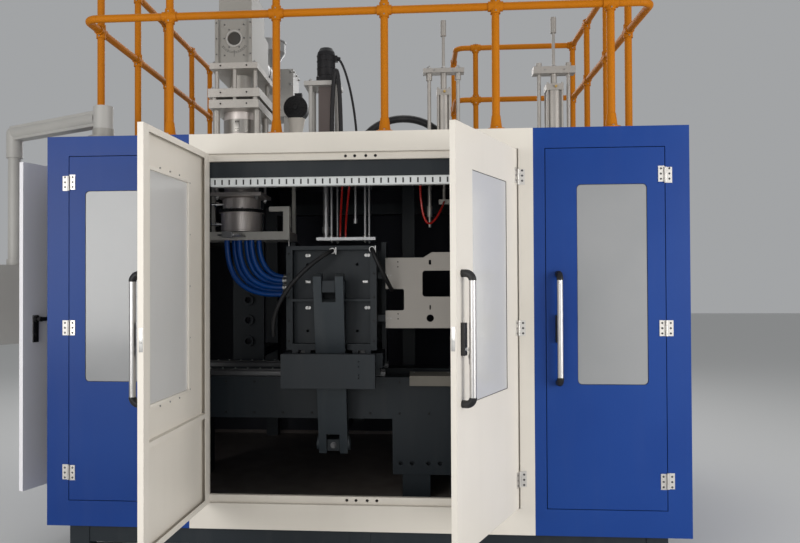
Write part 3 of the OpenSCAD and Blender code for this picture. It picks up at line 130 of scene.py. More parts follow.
class Graph:
    """A thin layer over a node tree that adds and links nodes in one call each."""

    def __init__(self, tree: bpy.types.NodeTree) -> None:
        """Keeps the tree."""
        self.tree = tree

    def add(self, kind: str, feeds: dict[str | int, object] | None = None, **settings: object) -> bpy.types.Node:
        """Adds a node.

        Args:
            kind: The node's type name.
            feeds: What goes into its inputs, as in fill.
            **settings: Attributes to set on it.

        Returns:
            The new node.
        """
        node = self.tree.nodes.new(kind)
        for name, value in settings.items():
            setattr(node, name, value)
        self.fill(node, feeds or {})
        return node

    def fill(self, node: bpy.types.Node, feeds: dict[str | int, object]) -> None:
        """Links output sockets to a node's inputs, or sets the inputs' own values.

        Args:
            node: The node.
            feeds: An output socket or a plain value for each input, by name or number.
        """
        for key, value in feeds.items():
            if isinstance(value, bpy.types.NodeSocket):
                self.tree.links.new(value, node.inputs[key])
            elif value is not None:
                node.inputs[key].default_value = value

    def coords(self) -> bpy.types.NodeSocket:
        """Returns the Object coordinates."""
        return self.add("ShaderNodeTexCoord").outputs["Object"]

    def math(self, operation: str, a: object, b: object = None, clamp: bool = False) -> bpy.types.NodeSocket:
        """Returns the result of a math node on two values or sockets."""
        return self.add("ShaderNodeMath", {0: a, 1: b}, operation=operation, use_clamp=clamp).outputs[0]

    def vector(self, operation: str, a: object, b: object = None, result: str = "Vector") -> bpy.types.NodeSocket:
        """Returns one result of a vector math node on two vectors."""
        return self.add("ShaderNodeVectorMath", {0: a, 1: b}, operation=operation).outputs[result]

    def height(self, vector: object) -> bpy.types.NodeSocket:
        """Returns the Z part of a vector."""
        return self.add("ShaderNodeSeparateXYZ", {0: vector}).outputs["Z"]

    def mix(self, factor: object, a: object, b: object) -> bpy.types.NodeSocket:
        """Returns the mix of two colours."""
        return self.add("ShaderNodeMix", {"Factor": factor, 6: a, 7: b}, data_type="RGBA").outputs[2]

    def mix_value(self, factor: object, a: object, b: object) -> bpy.types.NodeSocket:
        """Returns the mix of two numbers."""
        return self.add("ShaderNodeMix", {"Factor": factor, 2: a, 3: b}, data_type="FLOAT").outputs[0]

    def noise(self, coords: object, scale: object, detail: float = 2.0) -> bpy.types.NodeSocket:
        """Returns the value of a noise texture on the given coordinates."""
        return self.add("ShaderNodeTexNoise", {"Vector": coords, "Scale": scale, "Detail": detail}).outputs["Fac"]

    def span(self, value: object, low: float, high: float, top: float = 1.0) -> bpy.types.NodeSocket:
        """Maps a value from one span to 0 to top, clamped.

        Args:
            value: The value.
            low: What becomes 0.
            high: What becomes top.
            top: The result's upper end.

        Returns:
            The result.
        """
        feeds = {"Value": value, "From Min": low, "From Max": high, "To Min": 0.0, "To Max": top}
        return self.add("ShaderNodeMapRange", feeds, clamp=True).outputs["Result"]

    def gloss(self, given: dict, swing: object, dirt: object, weight: float) -> bpy.types.NodeSocket:
        """Makes a roughness that swings round the clean surface's own and rises with dirt.

        Args:
            given: The group's inputs, with its Gloss Roughness and Roughness Spread.
            swing: What the roughness follows, round 0.5.
            dirt: Mask of what is dirty.
            weight: How much rougher the dirt is.

        Returns:
            The roughness.
        """
        spread = self.math("MULTIPLY", self.math("SUBTRACT", swing, 0.5), given["Roughness Spread"])
        clean = self.math("ADD", given["Gloss Roughness"], spread)
        return self.math("ADD", clean, self.math("MULTIPLY", dirt, weight), clamp=True)

    def relief(self, radius: object, strength: float, depth: object, height: object) -> bpy.types.NodeSocket:
        """Makes a normal with soft edges and a fine relief.

        Args:
            radius: Radius of the edges, in metres.
            strength: Strength of the relief.
            depth: Its depth, in metres.
            height: Its height map.

        Returns:
            The normal.
        """
        edges = self.add("ShaderNodeBevel", {"Radius": radius}, samples=3).outputs[0]
        feeds = {"Strength": strength, "Distance": depth, "Height": height, "Normal": edges}
        return self.add("ShaderNodeBump", feeds).outputs[0]


COLOUR, FLOAT, VECTOR = "NodeSocketColor", "NodeSocketFloat", "NodeSocketVector"
SURFACE_OUT = {"Colour": COLOUR, "Roughness": FLOAT, "Normal": VECTOR}


def new_group(
    name: str, inputs: Sequence[tuple[str, str, object]], outputs: dict[str, str], kind: str = "ShaderNodeTree"
) -> tuple[Graph, dict[str, bpy.types.NodeSocket], bpy.types.Node]:
    """Makes an empty node group.

    Args:
        name: The group's name.
        inputs: Name, socket type and default value, or None, of each input.
        outputs: Socket type of each output, by name.
        kind: The type of its tree.

    Returns:
        The group's graph, its inputs by name, and its output node.
    """
    tree = bpy.data.node_groups.new(name, kind)
    for label, socket_type, default in inputs:
        socket = tree.interface.new_socket(label, in_out="INPUT", socket_type=socket_type)
        if default is not None:
            socket.default_value = default
    for label, socket_type in outputs.items():
        tree.interface.new_socket(label, in_out="OUTPUT", socket_type=socket_type)
    graph = Graph(tree)
    source = graph.add("NodeGroupInput")
    return graph, {s.name: s for s in source.outputs}, graph.add("NodeGroupOutput")


def painted_surface() -> bpy.types.NodeTree:
    """Powder coat: slow changes of tone, streaks, settled dust and orange peel."""
    graph, given, out = new_group(
        "painted_surface",
        (
            ("Colour", COLOUR, (0.5, 0.5, 0.5, 1)),
            ("Faded Colour", COLOUR, (0.6, 0.6, 0.6, 1)),
            ("Dust Colour", COLOUR, (0.42, 0.40, 0.37, 1)),
            ("Cloud Scale", FLOAT, 1.2),
            ("Dust", FLOAT, 0.25),
            ("Gloss Roughness", FLOAT, 0.35),
            ("Roughness Spread", FLOAT, 0.12),
            ("Grain Scale", FLOAT, 420.0),
            ("Grain Depth", FLOAT, 0.00012),
            ("Edge Radius", FLOAT, 0.0012),
        ),
        SURFACE_OUT,
    )
    coords = graph.coords()
    cloud = graph.noise(coords, given["Cloud Scale"], 3.0)
    streaks = graph.noise(graph.vector("MULTIPLY", coords, (5.0, 5.0, 0.55)), 2.2, 4.0)
    up = graph.height(graph.add("ShaderNodeNewGeometry").outputs["Normal"])
    patches = graph.span(graph.noise(coords, 9.0, 4.0), 0.3, 0.62)
    settled = graph.math("MULTIPLY", graph.span(up, 0.55, 0.98), patches)
    run = graph.math("MULTIPLY", graph.span(streaks, 0.52, 0.78), 0.4)
    dirt = graph.math("ADD", run, graph.math("MULTIPLY", settled, 0.9))
    dust = graph.math("MULTIPLY", dirt, given["Dust"], clamp=True)
    painted = graph.mix(graph.span(cloud, 0.32, 0.68), given["Colour"], given["Faded Colour"])
    grain = graph.noise(coords, given["Grain Scale"])
    graph.fill(out, {
        "Colour": graph.mix(dust, painted, given["Dust Colour"]),
        "Roughness": graph.gloss(given, cloud, dust, 0.35),
        "Normal": graph.relief(given["Edge Radius"], 0.35, given["Grain Depth"], grain),
    })
    return graph.tree


def worked_metal() -> bpy.types.NodeTree:
    """Bare metal: fine marks drawn out along one axis, stains and soft edges."""
    graph, given, out = new_group(
        "worked_metal",
        (
            ("Colour", COLOUR, (0.6, 0.6, 0.6, 1)),
            ("Stain Colour", COLOUR, (0.35, 0.33, 0.30, 1)),
            ("Stretch", VECTOR, (1.0, 1.0, 0.04)),
            ("Mark Scale", FLOAT, 900.0),
            ("Mark Depth", FLOAT, 0.00005),
            ("Stain", FLOAT, 0.25),
            ("Gloss Roughness", FLOAT, 0.3),
            ("Roughness Spread", FLOAT, 0.2),
        ),
        SURFACE_OUT,
    )
    coords = graph.coords()
    marks = graph.noise(graph.vector("MULTIPLY", coords, given["Stretch"]), given["Mark Scale"], 3.0)
    stains = graph.span(graph.noise(coords, 7.0, 4.0), 0.48, 0.75)
    stain = graph.math("MULTIPLY", stains, given["Stain"], clamp=True)
    bright = graph.mix(graph.span(marks, 0.3, 0.7, 0.35), given["Colour"], given["Stain Colour"])
    graph.fill(out, {
        "Colour": graph.mix(stain, bright, given["Stain Colour"]),
        "Roughness": graph.gloss(given, marks, stain, 0.3),
        "Normal": graph.relief(0.0009, 0.25, given["Mark Depth"], marks),
    })
    return graph.tree


def axis_band() -> bpy.types.NodeTree:
    """Mask of what lies near an upright axis, in front of a plane and between two heights."""
    graph, given, out = new_group(
        "axis_band",
        (
            ("Axis", VECTOR, (0.0, 0.0, 0.0)),
            ("Radius", FLOAT, 0.03),
            ("Inward", VECTOR, (0.0, 1.0, 0.0)),
            ("Reach", FLOAT, 10.0),
            ("Middle", FLOAT, 1.0),
            ("Half Height", FLOAT, 0.04),
        ),
        {"Mask": FLOAT},
    )
    coords = graph.coords()
    flat = graph.vector("MULTIPLY", graph.vector("SUBTRACT", coords, given["Axis"]), (1.0, 1.0, 0.0))
    near = graph.math("LESS_THAN", graph.vector("LENGTH", flat, result="Value"), given["Radius"])
    inward = graph.vector("DOT_PRODUCT", flat, given["Inward"], result="Value")
    reach = graph.math("LESS_THAN", inward, given["Reach"])
    level = graph.math("ABSOLUTE", graph.math("SUBTRACT", graph.height(coords), given["Middle"]))
    tall = graph.math("LESS_THAN", level, given["Half Height"])
    graph.fill(out, {"Mask": graph.math("MULTIPLY", graph.math("MULTIPLY", near, reach), tall)})
    return graph.tree


# --------------------------------------------------------------------------- finishes


@dataclass(frozen=True)
class PaintSpec:
    """A painted or moulded finish.

    Args:
        colour: The main colour, linear.
        faded: The colour that it varies towards.
        roughness: Gloss of the clean surface.
        dust: How much dust and streaks show.
        grain: Scale of the fine relief.
        depth: Depth of the fine relief, in metres.
        coat: Weight of a clear coat.
        specular: The shader's specular level.
    """

    colour: RGB
    faded: RGB
    roughness: float = 0.35
    dust: float = 0.22
    grain: float = 420.0
    depth: float = 0.00012
    coat: float = 0.0
    specular: float = 0.4

    def surface(self) -> dict[str, object]:
        """Returns the paint group's input values."""
        return {
            "Colour": (*self.colour, 1.0),
            "Faded Colour": (*self.faded, 1.0),
            "Dust": self.dust,
            "Gloss Roughness": self.roughness,
            "Grain Scale": self.grain,
            "Grain Depth": self.depth,
        }

    def shader(self) -> dict[str, object]:
        """Returns the values that stand on the shader itself."""
        return {"Specular IOR Level": self.specular, "Coat Weight": self.coat, "Coat Roughness": 0.15}


@dataclass(frozen=True)
class PaneSpec(PaintSpec):
    """A frosted plastic pane."""

    def shader(self) -> dict[str, object]:
        """Returns the values that stand on the shader itself."""
        return {"Transmission Weight": 0.18, "IOR": 1.49, "Coat Weight": 0.35, "Coat Roughness": 0.12}


@dataclass(frozen=True)
class MetalSpec:
    """A bare metal finish.

    Args:
        colour: The clean metal, linear.
        stain: The colour of marks and stains.
        roughness: Gloss of the clean surface.
        stretch: How the marks are drawn out along the three axes.
        marks: Scale of the marks.
        soil: How much the stains show.
        metallic: The shader's metallic value.
    """

    colour: RGB
    stain: RGB
    roughness: float = 0.3
    stretch: RGB = (1.0, 1.0, 0.05)
    marks: float = 900.0
    soil: float = 0.25
    metallic: float = 1.0

    def surface(self) -> dict[str, object]:
        """Returns the metal group's input values."""
        return {
            "Colour": (*self.colour, 1.0),
            "Stain Colour": (*self.stain, 1.0),
            "Stretch": self.stretch,
            "Mark Scale": self.marks,
            "Stain": self.soil,
            "Gloss Roughness": self.roughness,
        }

    def shader(self) -> dict[str, object]:
        """Returns the values that stand on the shader itself."""
        return {"Metallic": self.metallic}


Spec = PaintSpec | MetalSpec
COARSE = dict(grain=300.0, depth=0.0002, specular=0.3)
LOOKS: dict[str, Spec] = {
    # Finishes of whole slots
    "blue_paint": PaintSpec((0.0045, 0.036, 0.200), (0.008, 0.047, 0.232), 0.38, 0.03, coat=0.03, specular=0.2),
    "cream_paint": PaintSpec((0.70, 0.655, 0.585), (0.76, 0.715, 0.645), 0.40, 0.12, coat=0.1),
    "frame_paint": PaintSpec((0.0100, 0.0145, 0.0190), (0.0150, 0.0210, 0.0270), 0.48, 0.05, **COARSE),
    "grey_paint": PaintSpec((0.35, 0.34, 0.32), (0.41, 0.40, 0.38), 0.40, 0.16),
    "orange_paint": PaintSpec((0.41, 0.128, 0.003), (0.47, 0.155, 0.005), 0.5, 0.04, specular=0.1),
    "tray_paint": PaintSpec((0.088, 0.072, 0.066), (0.115, 0.092, 0.083), 0.36, 0.25),
    "black_plastic": PaintSpec(
        (0.008, 0.008, 0.009), (0.015, 0.015, 0.017), 0.45, 0.12, 700.0, 0.0001, specular=0.25
    ),
    "white_plastic": PaintSpec((0.70, 0.73, 0.73), (0.76, 0.78, 0.78), 0.45, 0.12, 600.0, 0.00008),
    "hose_black": PaintSpec((0.008, 0.008, 0.009), (0.016, 0.016, 0.018), 0.48, 0.15, 500.0, 0.0002, specular=0.3),
    "hose_colour": PaintSpec((0.002, 0.050, 0.27), (0.004, 0.085, 0.38), 0.32, 0.03, 200.0, 0.00005),
    "steel": MetalSpec((0.47, 0.47, 0.465), (0.25, 0.24, 0.225), 0.36),
    "chrome": MetalSpec((0.70, 0.71, 0.72), (0.40, 0.40, 0.40), 0.14, marks=500.0, soil=0.12),
    "cast": MetalSpec((0.45, 0.43, 0.40), (0.28, 0.265, 0.245), 0.45, (1.0, 1.0, 1.0), 240.0, 0.3, 0.65),
    # Finishes of single pieces
    "red_hose": PaintSpec((0.42, 0.012, 0.012), (0.55, 0.03, 0.02), 0.25, 0.05, 200.0, 0.00005, coat=0.3),
    "screen": PaintSpec((0.012, 0.016, 0.022), (0.02, 0.026, 0.034), 0.08, 0.04, 50.0, 0.00001, coat=0.8),
    "port_glass": PaintSpec((0.035, 0.034, 0.031), (0.055, 0.053, 0.048), 0.2, 0.1, 50.0, 0.00001, coat=0.4),
    "frosted_pane": PaneSpec((0.295, 0.305, 0.312), (0.35, 0.355, 0.362), 0.22, 0.05, 90.0, 0.00008),
    # The same frosted plastic as frosted_pane, painted far lighter for the white doors: painted light on their panes.
    "lit_pane": PaneSpec((0.68, 0.675, 0.66), (0.735, 0.725, 0.71), 0.22, 0.05, 90.0, 0.00008),
    "brass_fitting": PaintSpec((0.42, 0.28, 0.09), (0.50, 0.34, 0.12), 0.3, 0.1),
    "engraved_ink": PaintSpec((0.05, 0.05, 0.05), (0.09, 0.09, 0.09), 0.6, 0.1),
    "red_button": PaintSpec((0.55, 0.02, 0.015), (0.6, 0.03, 0.02), 0.25, 0.05, coat=0.5),
    "cutter_paint": PaintSpec((0.47, 0.455, 0.42), (0.54, 0.525, 0.485), 0.4, 0.18),
    # A darker copy of the grey paint for the head box and the arm's pedestal: painted shade.
    "head_paint": PaintSpec((0.25, 0.24, 0.22), (0.30, 0.29, 0.265), 0.42, 0.15),
    # The side door is cream; this lighter, bluer copy of its paint is painted light and painted blue reflection on
    # its face.
    "side_door_paint": PaintSpec((0.84, 0.83, 0.86), (0.88, 0.87, 0.90), 0.42, 0.05),
    # A darker copy of the cream paint for the centre front panel: painted shade.
    "front_cream": PaintSpec((0.63, 0.59, 0.525), (0.69, 0.65, 0.585), 0.42, 0.12),
    "inner_cream": PaintSpec((0.36, 0.335, 0.305), (0.42, 0.395, 0.36), 0.45, 0.16),
    "bare_board": PaintSpec((0.15, 0.138, 0.115), (0.19, 0.176, 0.15), 0.55, 0.2),
    "lever_paint": PaintSpec((0.032, 0.041, 0.049), (0.043, 0.053, 0.062), 0.46, 0.12, **COARSE),
    # Dark paint with a coarse relief for the rear panels' inner face: painted shade inside the machine.
    "rear_inner_shade": PaintSpec((0.022, 0.023, 0.031), (0.032, 0.033, 0.042), 0.7, 0.05, 260.0, 0.0006, specular=0.15),
    "screw_housing": PaintSpec((0.115, 0.093, 0.088), (0.14, 0.115, 0.108), 0.5, 0.1),
    # Near-black: the hinge screws' finish, and the painted shade inside the cable duct.
    "dark_recess": PaintSpec((0.03, 0.03, 0.032), (0.05, 0.05, 0.052), 0.5, 0.05),
    "handle_grip": MetalSpec((0.53, 0.52, 0.515), (0.38, 0.38, 0.37), 0.33, (1.0, 1.0, 0.03), 700.0, 0.1),
    "oiled_steel": MetalSpec((0.17, 0.17, 0.175), (0.10, 0.10, 0.10), 0.4, (1.0, 0.05, 1.0), 600.0, 0.2, 0.8),
    # Turned steel of the die, made lighter, warmer and partly diffuse: real steel with painted light for the light
    # that it reflects.
    "turned_steel": MetalSpec((0.78, 0.72, 0.69), (0.50, 0.45, 0.42), 0.42, (1.0, 1.0, 0.02), 500.0, 0.2, 0.6),
    "ground_steel": MetalSpec((0.36, 0.36, 0.37), (0.22, 0.22, 0.22), 0.34, (1.0, 1.0, 0.05), 700.0, 0.2, 0.8),
    "hinge_steel": MetalSpec((0.62, 0.60, 0.57), (0.44, 0.42, 0.40), 0.42, (0.2, 1.0, 1.0), 600.0, 0.15, 0.6),
    "band_steel": MetalSpec((0.40, 0.385, 0.36), (0.25, 0.235, 0.215), 0.38, (0.3, 0.3, 1.0), 400.0, 0.3),
}


@dataclass(frozen=True)
class Band:
    """What lies near an upright axis, between two heights and outside a plane.

    Args:
        axis: A point of the axis, in metres.
        radius: How near it has to lie, in millimetres.
        middle: The middle height, in millimetres.
        half: Half of the height, in millimetres.
        reach: How far inwards it may lie, in millimetres.
        inward: Which way inwards is.
    """

    axis: Vector
    radius: float
    middle: float
    half: float
    reach: float = 10000.0
    inward: Vector = field(default_factory=lambda: BACK)

    def values(self) -> dict[str, object]:
        """Returns the band group's input values."""
        numbers = {"Radius": self.radius, "Reach": self.reach, "Middle": self.middle, "Half Height": self.half}
        return {"Axis": self.axis, "Inward": self.inward, **{name: v / 1000 for name, v in numbers.items()}}


class Materials:
    """Makes and keeps the machine's materials.

    Each material is a Principled shader. Its colour, roughness and normal come from one of
    the shared groups, and its constants stand on the shader's own sockets.
    """

    def __init__(self) -> None:
        """Makes the shared groups."""
        self.paint_group = painted_surface()
        self.metal_group = worked_metal()
        self.band_group = axis_band()
        self.made: dict[str, bpy.types.Material] = {}

    def _start(self, name: str) -> tuple[Graph, bpy.types.Node]:
        """Makes an empty material.

        Args:
            name: Its name.

        Returns:
            Its graph and its shader.
        """
        material = bpy.data.materials.new(name)
        material.use_nodes = True
        material.node_tree.nodes.clear()
        graph = Graph(material.node_tree)
        shader = graph.add("ShaderNodeBsdfPrincipled")
        graph.add("ShaderNodeOutputMaterial", {"Surface": shader.outputs[0]})
        self.made[name] = material
        return graph, shader

    def _surface(self, graph: Graph, spec: Spec) -> bpy.types.NodeOutputs:
        """Adds the paint or the metal group with a finish's values, and returns its outputs."""
        group = self.metal_group if isinstance(spec, MetalSpec) else self.paint_group
        return graph.add("ShaderNodeGroup", spec.surface(), node_tree=group).outputs

    def get(self, look: Finish | str) -> bpy.types.Material:
        """Returns the plain material of a finish, made once.

        Args:
            look: The slot's finish, or the name of a single piece's finish.

        Returns:
            The material.
        """
        name = look.value if isinstance(look, Finish) else look
        if name not in self.made:
            graph, shader = self._start(name)
            made = self._surface(graph, LOOKS[name])
            links = {"Base Color": made["Colour"], "Roughness": made["Roughness"], "Normal": made["Normal"]}
            graph.fill(shader, {**links, **LOOKS[name].shader()})
        return self.made[name]

    def banded(self, name: str, outside: str, inside: str, *bands: Band) -> bpy.types.Material:
        """Makes paint with another finish where one of the bands masks it.

        Args:
            name: The material's name.
            outside: The paint outside the bands.
            inside: The metal or the paint inside them.
            *bands: The bands.

        Returns:
            The material.
        """
        graph, shader = self._start(name)
        paint = self._surface(graph, LOOKS[outside])
        other = self._surface(graph, LOOKS[inside])
        mask: object = 0.0
        for band in bands:
            node = graph.add("ShaderNodeGroup", band.values(), node_tree=self.band_group)
            mask = graph.math("MAXIMUM", mask, node.outputs["Mask"])
        graph.fill(shader, {
            "Base Color": graph.mix(mask, paint["Colour"], other["Colour"]),
            "Roughness": graph.mix_value(mask, paint["Roughness"], other["Roughness"]),
            "Metallic": mask if isinstance(LOOKS[inside], MetalSpec) else None,
            "Normal": paint["Normal"],
            "Specular IOR Level": LOOKS[outside].specular,
        })
        return self.made[name]


def dress(node: str, material: bpy.types.Material) -> None:
    """Gives a node of the frame a material.

    Args:
        node: The node's name.
        material: The material.
    """
    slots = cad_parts[node].data.materials
    slots.clear()
    slots.append(material)


# --------------------------------------------------------------------------- mesh building


def basis(direction: Vector, roll: Vector | None = None) -> Matrix:
    """Makes a rotation whose Z axis is the given direction.

    Args:
        direction: Where the local Z axis points.
        roll: Roughly where the local X axis points.

    Returns:
        A 4 by 4 rotation.
    """
    z = direction.normalized()
    hint = roll or (UP if abs(z.z) < 0.9 else Vector((1, 0, 0)))
    y = z.cross(hint).normalized()
    return Matrix((y.cross(z), y, z)).transposed().to_4x4()


def at(place: Vector, direction: Vector = UP, roll: Vector | None = None) -> Matrix:
    """Makes the matrix that puts a local piece at a place in metres, with its Z axis along direction."""
    return Matrix.Translation(place) @ basis(direction, roll)


SHARP_ANGLE = 38.0


class Shape:
    """A mesh under construction, in metres."""

    def __init__(self) -> None:
        """Starts empty."""
        self.bm = bmesh.new()

    def _rings(self, rings: Sequence[list[bmesh.types.BMVert]], closed: bool, steps: int) -> "Shape":
        """Joins rings of points with faces, and caps the two ends.

        Args:
            rings: The rings, each of steps points or of one.
            closed: True where the last ring joins the first.
            steps: Number of sides.

        Returns:
            The shape itself.
        """
        for low, high in zip(rings, [*rings[1:], rings[0]] if closed else rings[1:]):
            for k in range(steps):
                face = [low[k % len(low)], low[(k + 1) % len(low)], high[(k + 1) % len(high)], high[k % len(high)]]
                unique = list(dict.fromkeys(face))
                if len(unique) > 2:
                    self.bm.faces.new(unique)
        for cap in () if closed else (rings[0][::-1], rings[-1]):
            if len(cap) > 1:
                self.bm.faces.new(cap)
        return self

    def _soften(self, edges: Iterable[bmesh.types.BMEdge], bevel: float) -> None:
        """Rounds edges by a bevel in millimetres, if it is more than 0."""
        if bevel > 0:
            bmesh.ops.bevel(self.bm, geom=list(edges), offset=bevel / 1000, segments=2, affect="EDGES", profile=0.6)

    def lathe(self, profile: Sequence[tuple[float, float]], place: Matrix, steps: int = 24) -> "Shape":
        """Adds a turned body, capped at both ends, or a ring where the outline closes on itself.

        Args:
            profile: Radius and height of each point of the outline, in millimetres.
            place: Where its axis stands.
            steps: Number of sides.

        Returns:
            The shape itself.
        """
        closed = profile[0] == profile[-1]
        rings = [
            [self.bm.verts.new(place @ mm(x, y, height)) for x, y in (arc(radius, steps) if radius > 0 else [(0, 0)])]
            for radius, height in (profile[:-1] if closed else profile)
        ]
        return self._rings(rings, closed, steps)

    def block(
        self, low: Sequence[float], high: Sequence[float], bevel: float = 1.0, place: Matrix | None = None
    ) -> "Shape":
        """Adds a block with rounded edges.

        Args:
            low: Its lowest corner, in millimetres.
            high: Its highest corner, in millimetres.
            bevel: The rounding of its edges, in millimetres.
            place: Where its own frame stands.

        Returns:
            The shape itself.
        """
        a, b = mm(*low), mm(*high)
        matrix = (place or Matrix()) @ Matrix.Translation((a + b) / 2) @ Matrix.Diagonal((*(b - a), 1.0))
        made = bmesh.ops.create_cube(self.bm, size=1.0, matrix=matrix)
        self._soften({e for v in made["verts"] for e in v.link_edges}, bevel)
        return self

    def prism(
        self, outline: Sequence[tuple[float, float]], low: float, high: float, place: Matrix, bevel: float
    ) -> "Shape":
        """Adds an extruded outline.

        Args:
            outline: Its points, in millimetres.
            low: Where it starts along the local Z axis, in millimetres.
            high: Where it ends, in millimetres.
            place: Where its own frame stands.
            bevel: The rounding of its edges, in millimetres.

        Returns:
            The shape itself.
        """
        bottom, top = ([self.bm.verts.new(place @ mm(x, y, z)) for x, y in outline] for z in (low, high))
        ends = [self.bm.faces.new(bottom[::-1]), self.bm.faces.new(top)]
        for k in range(len(outline)):
            j = (k + 1) % len(outline)
            self.bm.faces.new([bottom[k], bottom[j], top[j], top[k]])
        self._soften({e for f in ends for e in f.edges}, bevel)
        return self

    def tube(self, path: Sequence[Vector], radius: float, sides: int = 8, closed: bool = False) -> "Shape":
        """Adds a round bar along a path.

        Args:
            path: Its points, in metres.
            radius: Its radius, in millimetres.
            sides: Number of sides.
            closed: True where its end joins its start.

        Returns:
            The shape itself.
        """
        count = len(path)
        rings = []
        normal: Vector | None = None
        for i, point in enumerate(path):
            before = path[(i - 1) % count] if closed or i > 0 else path[i]
            after = path[(i + 1) % count] if closed or i < count - 1 else path[i]
            along = (after - before).normalized()
            normal = normal or along.orthogonal().normalized()
            normal = (normal - along * normal.dot(along)).normalized()
            across = along.cross(normal)
            rings.append([self.bm.verts.new(point + (normal * x + across * y) / 1000) for x, y in arc(radius, sides)])
        return self._rings(rings, closed, sides)

    def mesh(self, name: str) -> bpy.types.Mesh:
        """Closes the shape into a mesh with smooth faces and sharp corners.

        Args:
            name: The mesh's name.

        Returns:
            The mesh.
        """
        bmesh.ops.recalc_face_normals(self.bm, faces=self.bm.faces)
        mesh = bpy.data.meshes.new(name)
        self.bm.to_mesh(mesh)
        self.bm.free()
        for face in mesh.polygons:
            face.use_smooth = True
        mesh.set_sharp_from_angle(angle=math.radians(SHARP_ANGLE))
        return mesh


def rounded_outline(width: float, height: float, radius: float, steps: int = 5) -> list[tuple[float, float]]:
    """Makes the points of a rounded rectangle round the origin.

    Args:
        width: Its width, in millimetres.
        height: Its height, in millimetres.
        radius: Radius of its corners, in millimetres.
        steps: Number of sides of each corner.

    Returns:
        The points, in millimetres.
    """
    x, y = width / 2 - radius, height / 2 - radius
    return [
        (sx * x + dx, sy * y + dy)
        for sx, sy, start in ((1, -1, -90), (1, 1, 0), (-1, 1, 90), (-1, -1, 180))
        for dx, dy in arc(radius, steps + 1, start, 90 / steps)
    ]


# --------------------------------------------------------------------------- geometry nodes


GEOMETRY, OBJECT = "NodeSocketGeometry", "NodeSocketObject"
WHOLE, MATERIAL = "NodeSocketInt", "NodeSocketMaterial"


def copies_group(
    name: str, inputs: Sequence[tuple[str, str]]
) -> tuple[Graph, dict[str, bpy.types.NodeSocket], bpy.types.Node]:
    """Starts a Geometry Nodes group that copies one piece, with its inputs' names and socket types."""
    every = [(label, kind, None) for label, kind in (*inputs, ("Piece", OBJECT), ("Finish", MATERIAL))]
    return new_group(name, every, {"Geometry": GEOMETRY}, "GeometryNodeTree")


def copy_pieces(graph: Graph, given: dict, out: bpy.types.Node, feeds: dict[str, object]) -> bpy.types.NodeTree:
    """Ends such a group: copies the piece, makes the copies real and gives them the material.

    Args:
        graph: The group's graph.
        given: Its inputs by name.
        out: Its output node.
        feeds: The points to copy to, with the copies' rotation and scale where they have them.

    Returns:
        The group.
    """
    info = graph.add("GeometryNodeObjectInfo", {"Object": given["Piece"]}, transform_space="ORIGINAL")
    put = graph.add("GeometryNodeInstanceOnPoints", {**feeds, "Instance": info.outputs["Geometry"]})
    real = graph.add("GeometryNodeRealizeInstances", {0: put.outputs[0]})
    done = graph.add("GeometryNodeSetMaterial", {"Geometry": real.outputs[0], "Material": given["Finish"]})
    graph.fill(out, {"Geometry": done.outputs[0]})
    return graph.tree


def place_pieces_group() -> bpy.types.NodeTree:
    """Geometry Nodes group that sets one piece on every point, turned to the point's facing."""
    graph, given, out = copies_group("place_pieces", [("Points", GEOMETRY), ("Size", FLOAT), ("Seed", WHOLE)])
    facing = graph.add("GeometryNodeInputNamedAttribute", {"Name": "facing"}, data_type="FLOAT_VECTOR")
    align = graph.add("FunctionNodeAlignRotationToVector", {"Vector": facing.outputs["Attribute"]}, axis="Z")
    spin = graph.add("FunctionNodeRandomValue", {2: 0.0, 3: math.tau, "Seed": given["Seed"]}, data_type="FLOAT")
    turn = graph.add("FunctionNodeAxisAngleToRotation", {"Axis": (0.0, 0.0, 1.0), "Angle": spin.outputs[1]})
    both = graph.add("FunctionNodeRotateRotation", {0: align.outputs[0], 1: turn.outputs[0]}, rotation_space="LOCAL")
    feeds = {"Points": given["Points"], "Rotation": both.outputs[0], "Scale": given["Size"]}
    return copy_pieces(graph, given, out, feeds)


def row_group() -> bpy.types.NodeTree:
    """Geometry Nodes group that repeats a piece at even steps along a line."""
    inputs = [("Carrier", GEOMETRY), ("Count", WHOLE), ("Start", VECTOR), ("Step", VECTOR)]
    graph, given, out = copies_group("row_of_pieces", inputs)
    feeds = {"Count": given["Count"], "Start Location": given["Start"], "Offset": given["Step"]}
    line = graph.add("GeometryNodeMeshLine", feeds, mode="OFFSET")
    return copy_pieces(graph, given, out, {"Points": line.outputs[0]})


@dataclass
class Spot:
    """A place for a repeated piece, in metres, and where the piece faces."""

    place: Vector
    facing: Vector


def spots(facing: Vector, places: Iterable[Sequence[float]]) -> list[Spot]:
    """Makes spots at places in millimetres that all face one way."""
    return [Spot(mm(*place), facing) for place in places]


